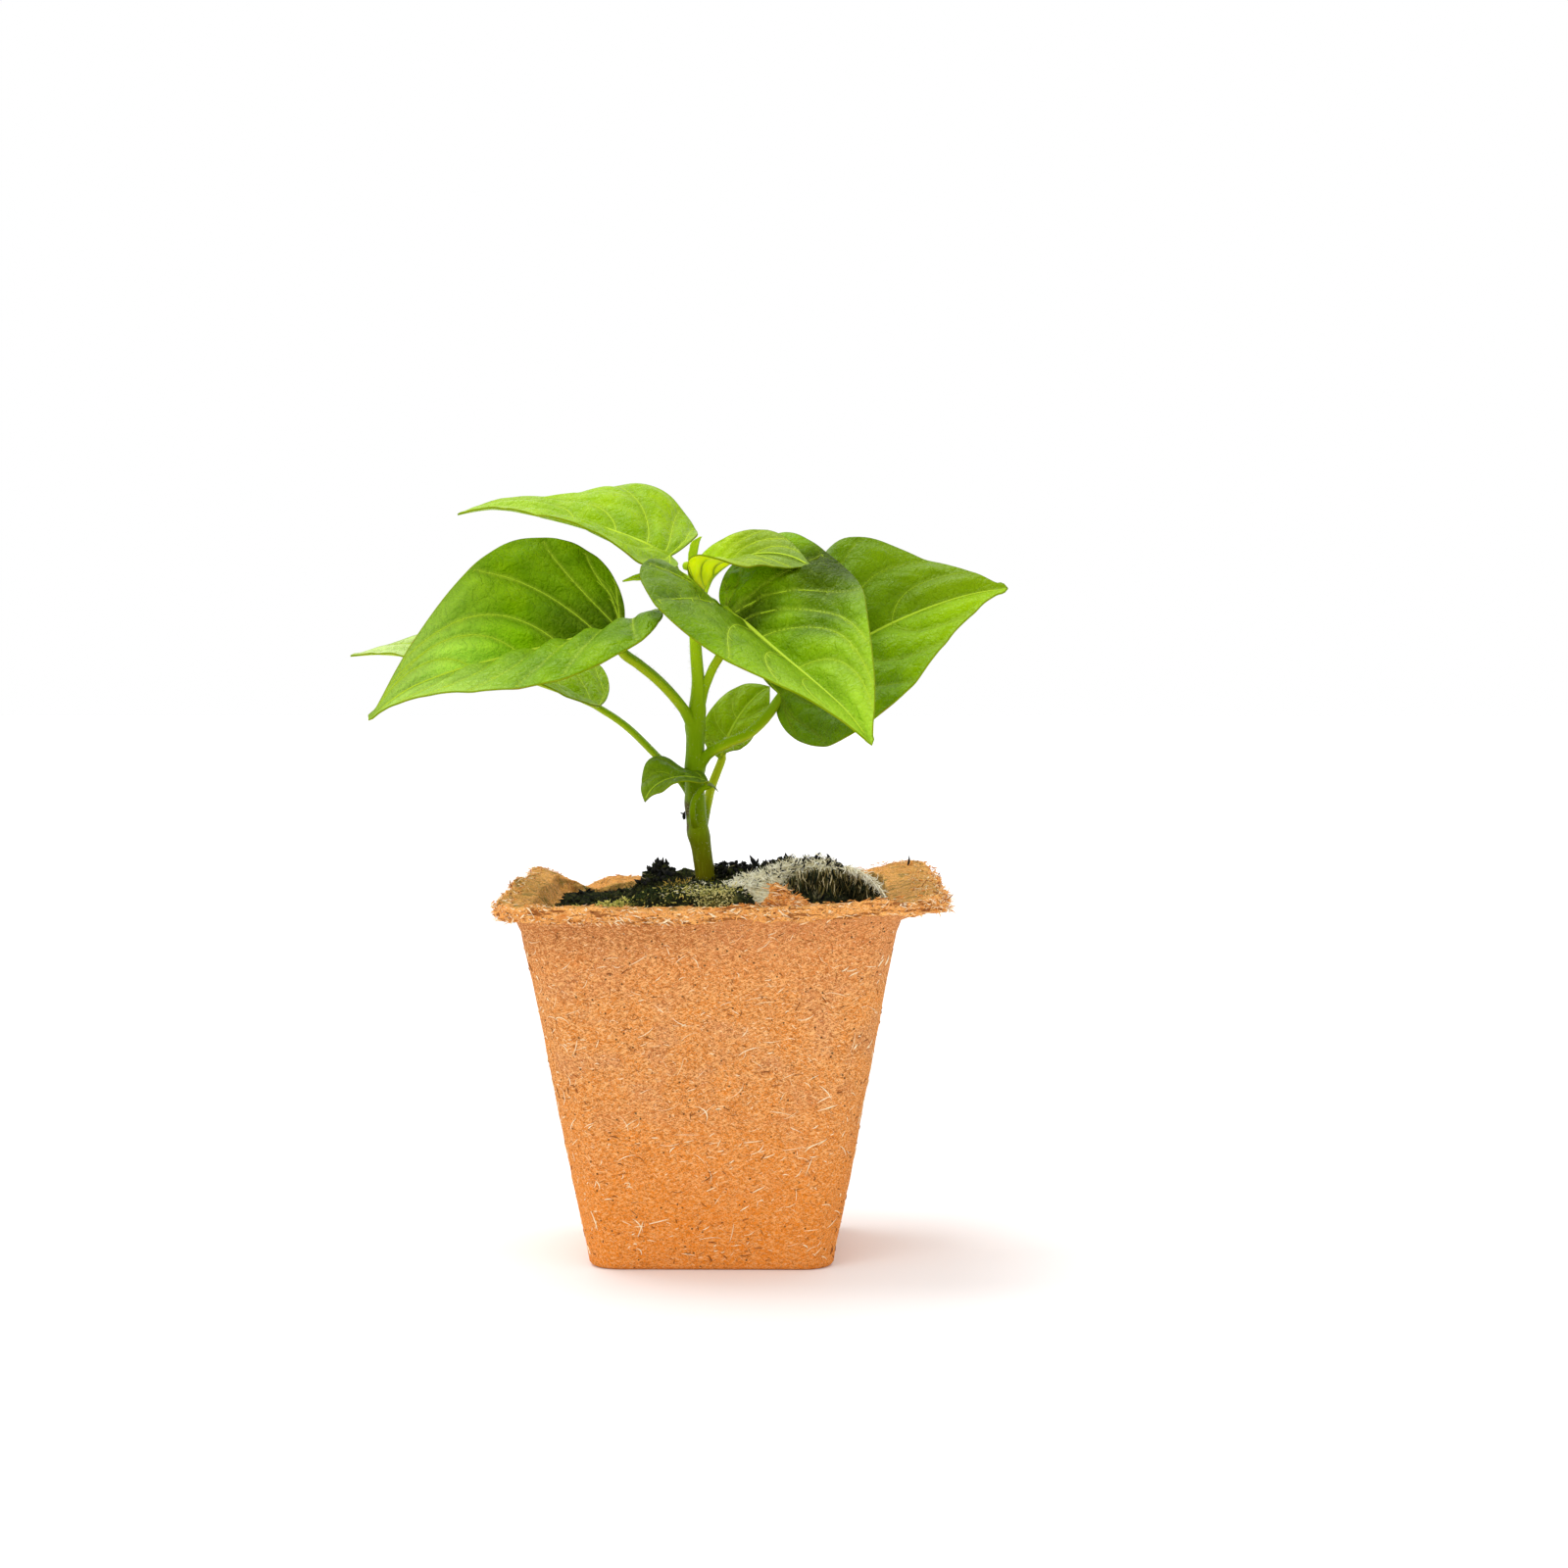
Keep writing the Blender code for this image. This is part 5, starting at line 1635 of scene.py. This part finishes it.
def veinMaterial(name, tint, shade=1.0):
    # Petioles are green on top and yellow beneath, the veins pale
    skin = greenSurface(name, 0.45, 0.22, 0.10)
    fade = tint["veinFade"]
    vein = skin.mix(skin.mask(skin.attribute("rib"), 0, 1, fade, fade * 0.3), tint["vein"], tint["light"])
    # Veins lying in another leaf's shadow are scaled darker by shade, as painted shade
    vein = skin.vector("SCALE", vein, shade)
    facing = skin.axes(skin.add("NewGeometry", {}, "Normal"))[2]
    under = tint["stalk"] if tint.get("plainStalk") else tint["stalkUnder"]
    skin.colour = skin.mix(skin.mask(facing, 0.7, -0.7), tint["stalk"], under)
    skin.over(under, skin.noise(0.8, coords=skin.mapped((1, 1, 5))), 0.55, 0.75, 0.3)
    # Where it leaves the stem it has the stem's colour
    level = skin.vector("MULTIPLY", skin.coords, (1, 1, 0))
    skin.over(stemColour(skin), skin.vector("DISTANCE", level, (-0.004, 0, 0), "Value"), 0.0065, 0.003)
    skin.colour = skin.mix(skin.attribute("stalk"), vein, skin.colour)
    return skin.done(skin.noise(0.5), 0.15, 0.05)


def growLeaf(name, leaf, seed):
    rng = random.Random(seed)
    frames = midribFrames(leaf)
    isSeed = name.startswith("seed")
    size = min(leaf["length"] / 50, 1)
    pairs = leaf.get("veins") or ((seedVeins, seedVeins) if isSeed else (usualVeins, usualVeins))
    ways = [[lateralPath(vein) for vein in pairs[side]] for side in (0, 1)]
    rungs = [[] if isSeed else crossPaths(pairs[side], rng) for side in (0, 1)]
    words = name.split("_")
    called = words[0] + "".join(word.title() for word in words[1:])
    tint = dict(usualTint, **leafTints[name])
    skins = [leafTopMaterial(called + "Top", tint), leafUnderMaterial(called + "Under", tint), leafEdge]
    blade = finishPiece(called + "Blade", bladeMesh(leaf, frames, ways, rungs, size), skins, [name])
    solid = blade.modifiers.new("thickness", "SOLIDIFY")
    solid.thickness = leafForm["thickness"] * mm * (1 if size > 0.5 else 0.8)
    solid.offset = 0
    solid.material_offset = 1
    solid.material_offset_rim = 2
    # The second vein material is the first darkened to half, as painted shade
    veins = [veinMaterial(called + "Vein", tint), veinMaterial(called + "DimVein", tint, 0.5)]
    finishPiece(called + "Veins", veinMesh(leaf, frames, ways, rungs, size), veins, [name])


leafEdge = edgeMaterial()
for seed, (name, leaf) in enumerate(leaves.items(), leafForm["seed"]):
    growLeaf(name, leaf, seed)
    print(name, "unfolded")


# Fine hairs of the stem and petioles, specks of soil stuck to them, and the front seed
# leaf's withered tail

# How many to a millimetre, their sizes, and where the stem's hairs begin and end
hairs = {
    "seed": 71, "perMm": 9, "length": (0.35, 0.9), "thick": 0.024, "curl": 40, "from": 83, "to": 148,
    "tints": (("paleHair", (0.60, 0.66, 0.30), (0.92, 0.94, 0.75), 1.2),),
}
specks = {
    "seed": 72, "curl": 50, "flat": 0.6,
    # Start, way, length and thickness
    "rows": (
        ((-6.7, -0.4, 96.1), (-0.15, 0, 1), 1.9, 0.42),
        ((-16.9, 6.5, 113.9), (0.9, 0.1, -0.6), 1.1, 0.34),
        ((43.2, -2, 86.0), (0.3, 0, 1), 2.2, 0.28),
        ((-6.9, -0.6, 97.4), (-1, 0, 0.2), 0.8, 0.22),
    ),
}
witheredTail = {
    "points": ((-1.2, -4.9, 104.3), (-0.2, -5.1, 103.9), (0.6, -5.2, 103.1), (1.1, -5.2, 102.4)),
    "radii": (0.55, 0.40, 0.22, 0.05),
    "flat": 0.6,
    "tints": (("witheredGreen", (0.10, 0.14, 0.03), (0.26, 0.32, 0.12), 1.2),),
}


def hairMesh():
    rng = random.Random(hairs["seed"])
    tubes = [[place for place in zip(*stemLine(12)) if hairs["from"] < place[0].z < hairs["to"]]]
    for leaf in leaves.values():
        tubes.append([(point, leaf["stalkRadius"]) for point in smoothPath(leaf["stalk"], 12)[8:]])
    bm = bmesh.new()
    for tube in tubes:
        for (start, radius), (end, ignored) in zip(tube, tube[1:]):
            along = end - start
            side = along.orthogonal().normalized()
            for number in range(int(along.length * hairs["perMm"] * radius / 2 + rng.random())):
                away = side.copy()
                away.rotate(Matrix.Rotation(rng.uniform(0, 2 * pi), 3, along))
                root = start + along * rng.random() + away * (radius - 0.05)
                way = away + along.normalized() * rng.uniform(-0.4, 0.8)
                length = rng.uniform(*hairs["length"])
                addStrand(bm, rng, root, way, length, hairs["thick"], hairs["curl"], 3, 2)
    return bm


def speckMesh():
    rng = random.Random(specks["seed"])
    bm = bmesh.new()
    for start, way, length, thick in specks["rows"]:
        addStrand(bm, rng, start, way, length, thick, specks["curl"], 6, 5, specks["flat"])
    return bm


def tailMesh():
    bm = bmesh.new()
    path = smoothPath(witheredTail["points"], 6)
    radii = spread(witheredTail["radii"], len(path))
    sweepTube(bm, path, radii, 8, section=flatSection(witheredTail["flat"]))
    return bm


finishPiece("plantHairs", hairMesh(), strandTints(hairs))
finishPiece("soilSpecks", speckMesh(), barkTints, smooth=False)
finishPiece("witheredTail", tailMesh(), strandTints(witheredTail))
print("hairs grown")


# Growing tip: the end of the stem, a bud, an upright young leaf and one that lies out to the left

youngLeaf = dict(hook=0, swing=0, twist=0, curl=(0, 0), wave=(0, 0), waves=1, phase=0, fan=0)
tip = {
    "stub": ((-4.85, 0.0, 148.0), (-4.9, 0.0, 151.0), (-4.8, 0.0, 153.0)),
    "stubRadii": (1.0, 0.95, 0.55),
    "bud": (-6.0, -0.6, 152.6),
    "budRadius": 1.0,
    "leaves": (
        dict(youngLeaf, base=(-4.9, 0.0, 151.6), heading=-20, rise=72, droop=-8, roll=0, length=7.8,
             widest=0.55, point=0.9, width=(1.9, 1.9), lobe=(-0.2, -0.2), fold=(52, 52)),
        dict(youngLeaf, base=(-5.2, -0.3, 149.4), heading=178, rise=6, droop=12, roll=-24, length=15.3,
             widest=0.40, point=0.5, width=(3.2, 2.8), lobe=(-0.4, -0.4), fold=(22, 22)),
    ),
    "ribShares": (0, 0.2, 0.4, 0.6, 0.8, 0.95),
    "ribRadii": (0.4, 0.34, 0.26, 0.2, 0.14, 0.06),
    "thickness": 0.35,
    "colour": (0.48, 0.64, 0.01),
    "shade": (0.32, 0.48, 0.01),
}


def tipMaterial():
    skin = greenSurface("youngGreen", 0.45, 0.2, 0.15, (0.6, 1.0, 0.2), 0.8)
    skin.colour = skin.mix(skin.noise(2), tip["shade"], tip["colour"])
    return skin.done(skin.noise(0.5), 0.3, 0.1)


def tipMesh():
    bm = bmesh.new()
    path = smoothPath(tip["stub"], 8)
    sweepTube(bm, path, spread(tip["stubRadii"], len(path)), 16, up=(0, 1, 0))
    bmesh.ops.create_icosphere(bm, subdivisions=3, radius=1)
    for vert in [vert for vert in bm.verts if vert.co.length > 0.5]:
        way = vert.co.normalized()
        ridge = 1 + 0.12 * sin(5 * atan2(way.y, way.x))
        vert.co = (Vector(tip["bud"]) + way * tip["budRadius"] * ridge) * mm
    for leaf in tip["leaves"]:
        frames = midribFrames(leaf)
        ways = [[lateralPath(vein, 12) for vein in seedVeins] for side in (0, 1)]
        blade = bladeMesh(leaf, frames, ways, ([], []), 0.3)
        bmesh.ops.solidify(blade, geom=blade.faces, thickness=tip["thickness"] * mm)
        blade.to_mesh(scratchMesh)
        blade.free()
        bm.from_mesh(scratchMesh)
        path = smoothPath([frameAt(leaf, frames, share * leaf["length"])[0] for share in tip["ribShares"]], 4)
        sweepTube(bm, path, spread(tip["ribRadii"], len(path)), 8, up=frames[0][3])
    return bm


finishPiece("tipLeaves", tipMesh(), [tipMaterial()], ["growing_tip"])
print("tip opened")
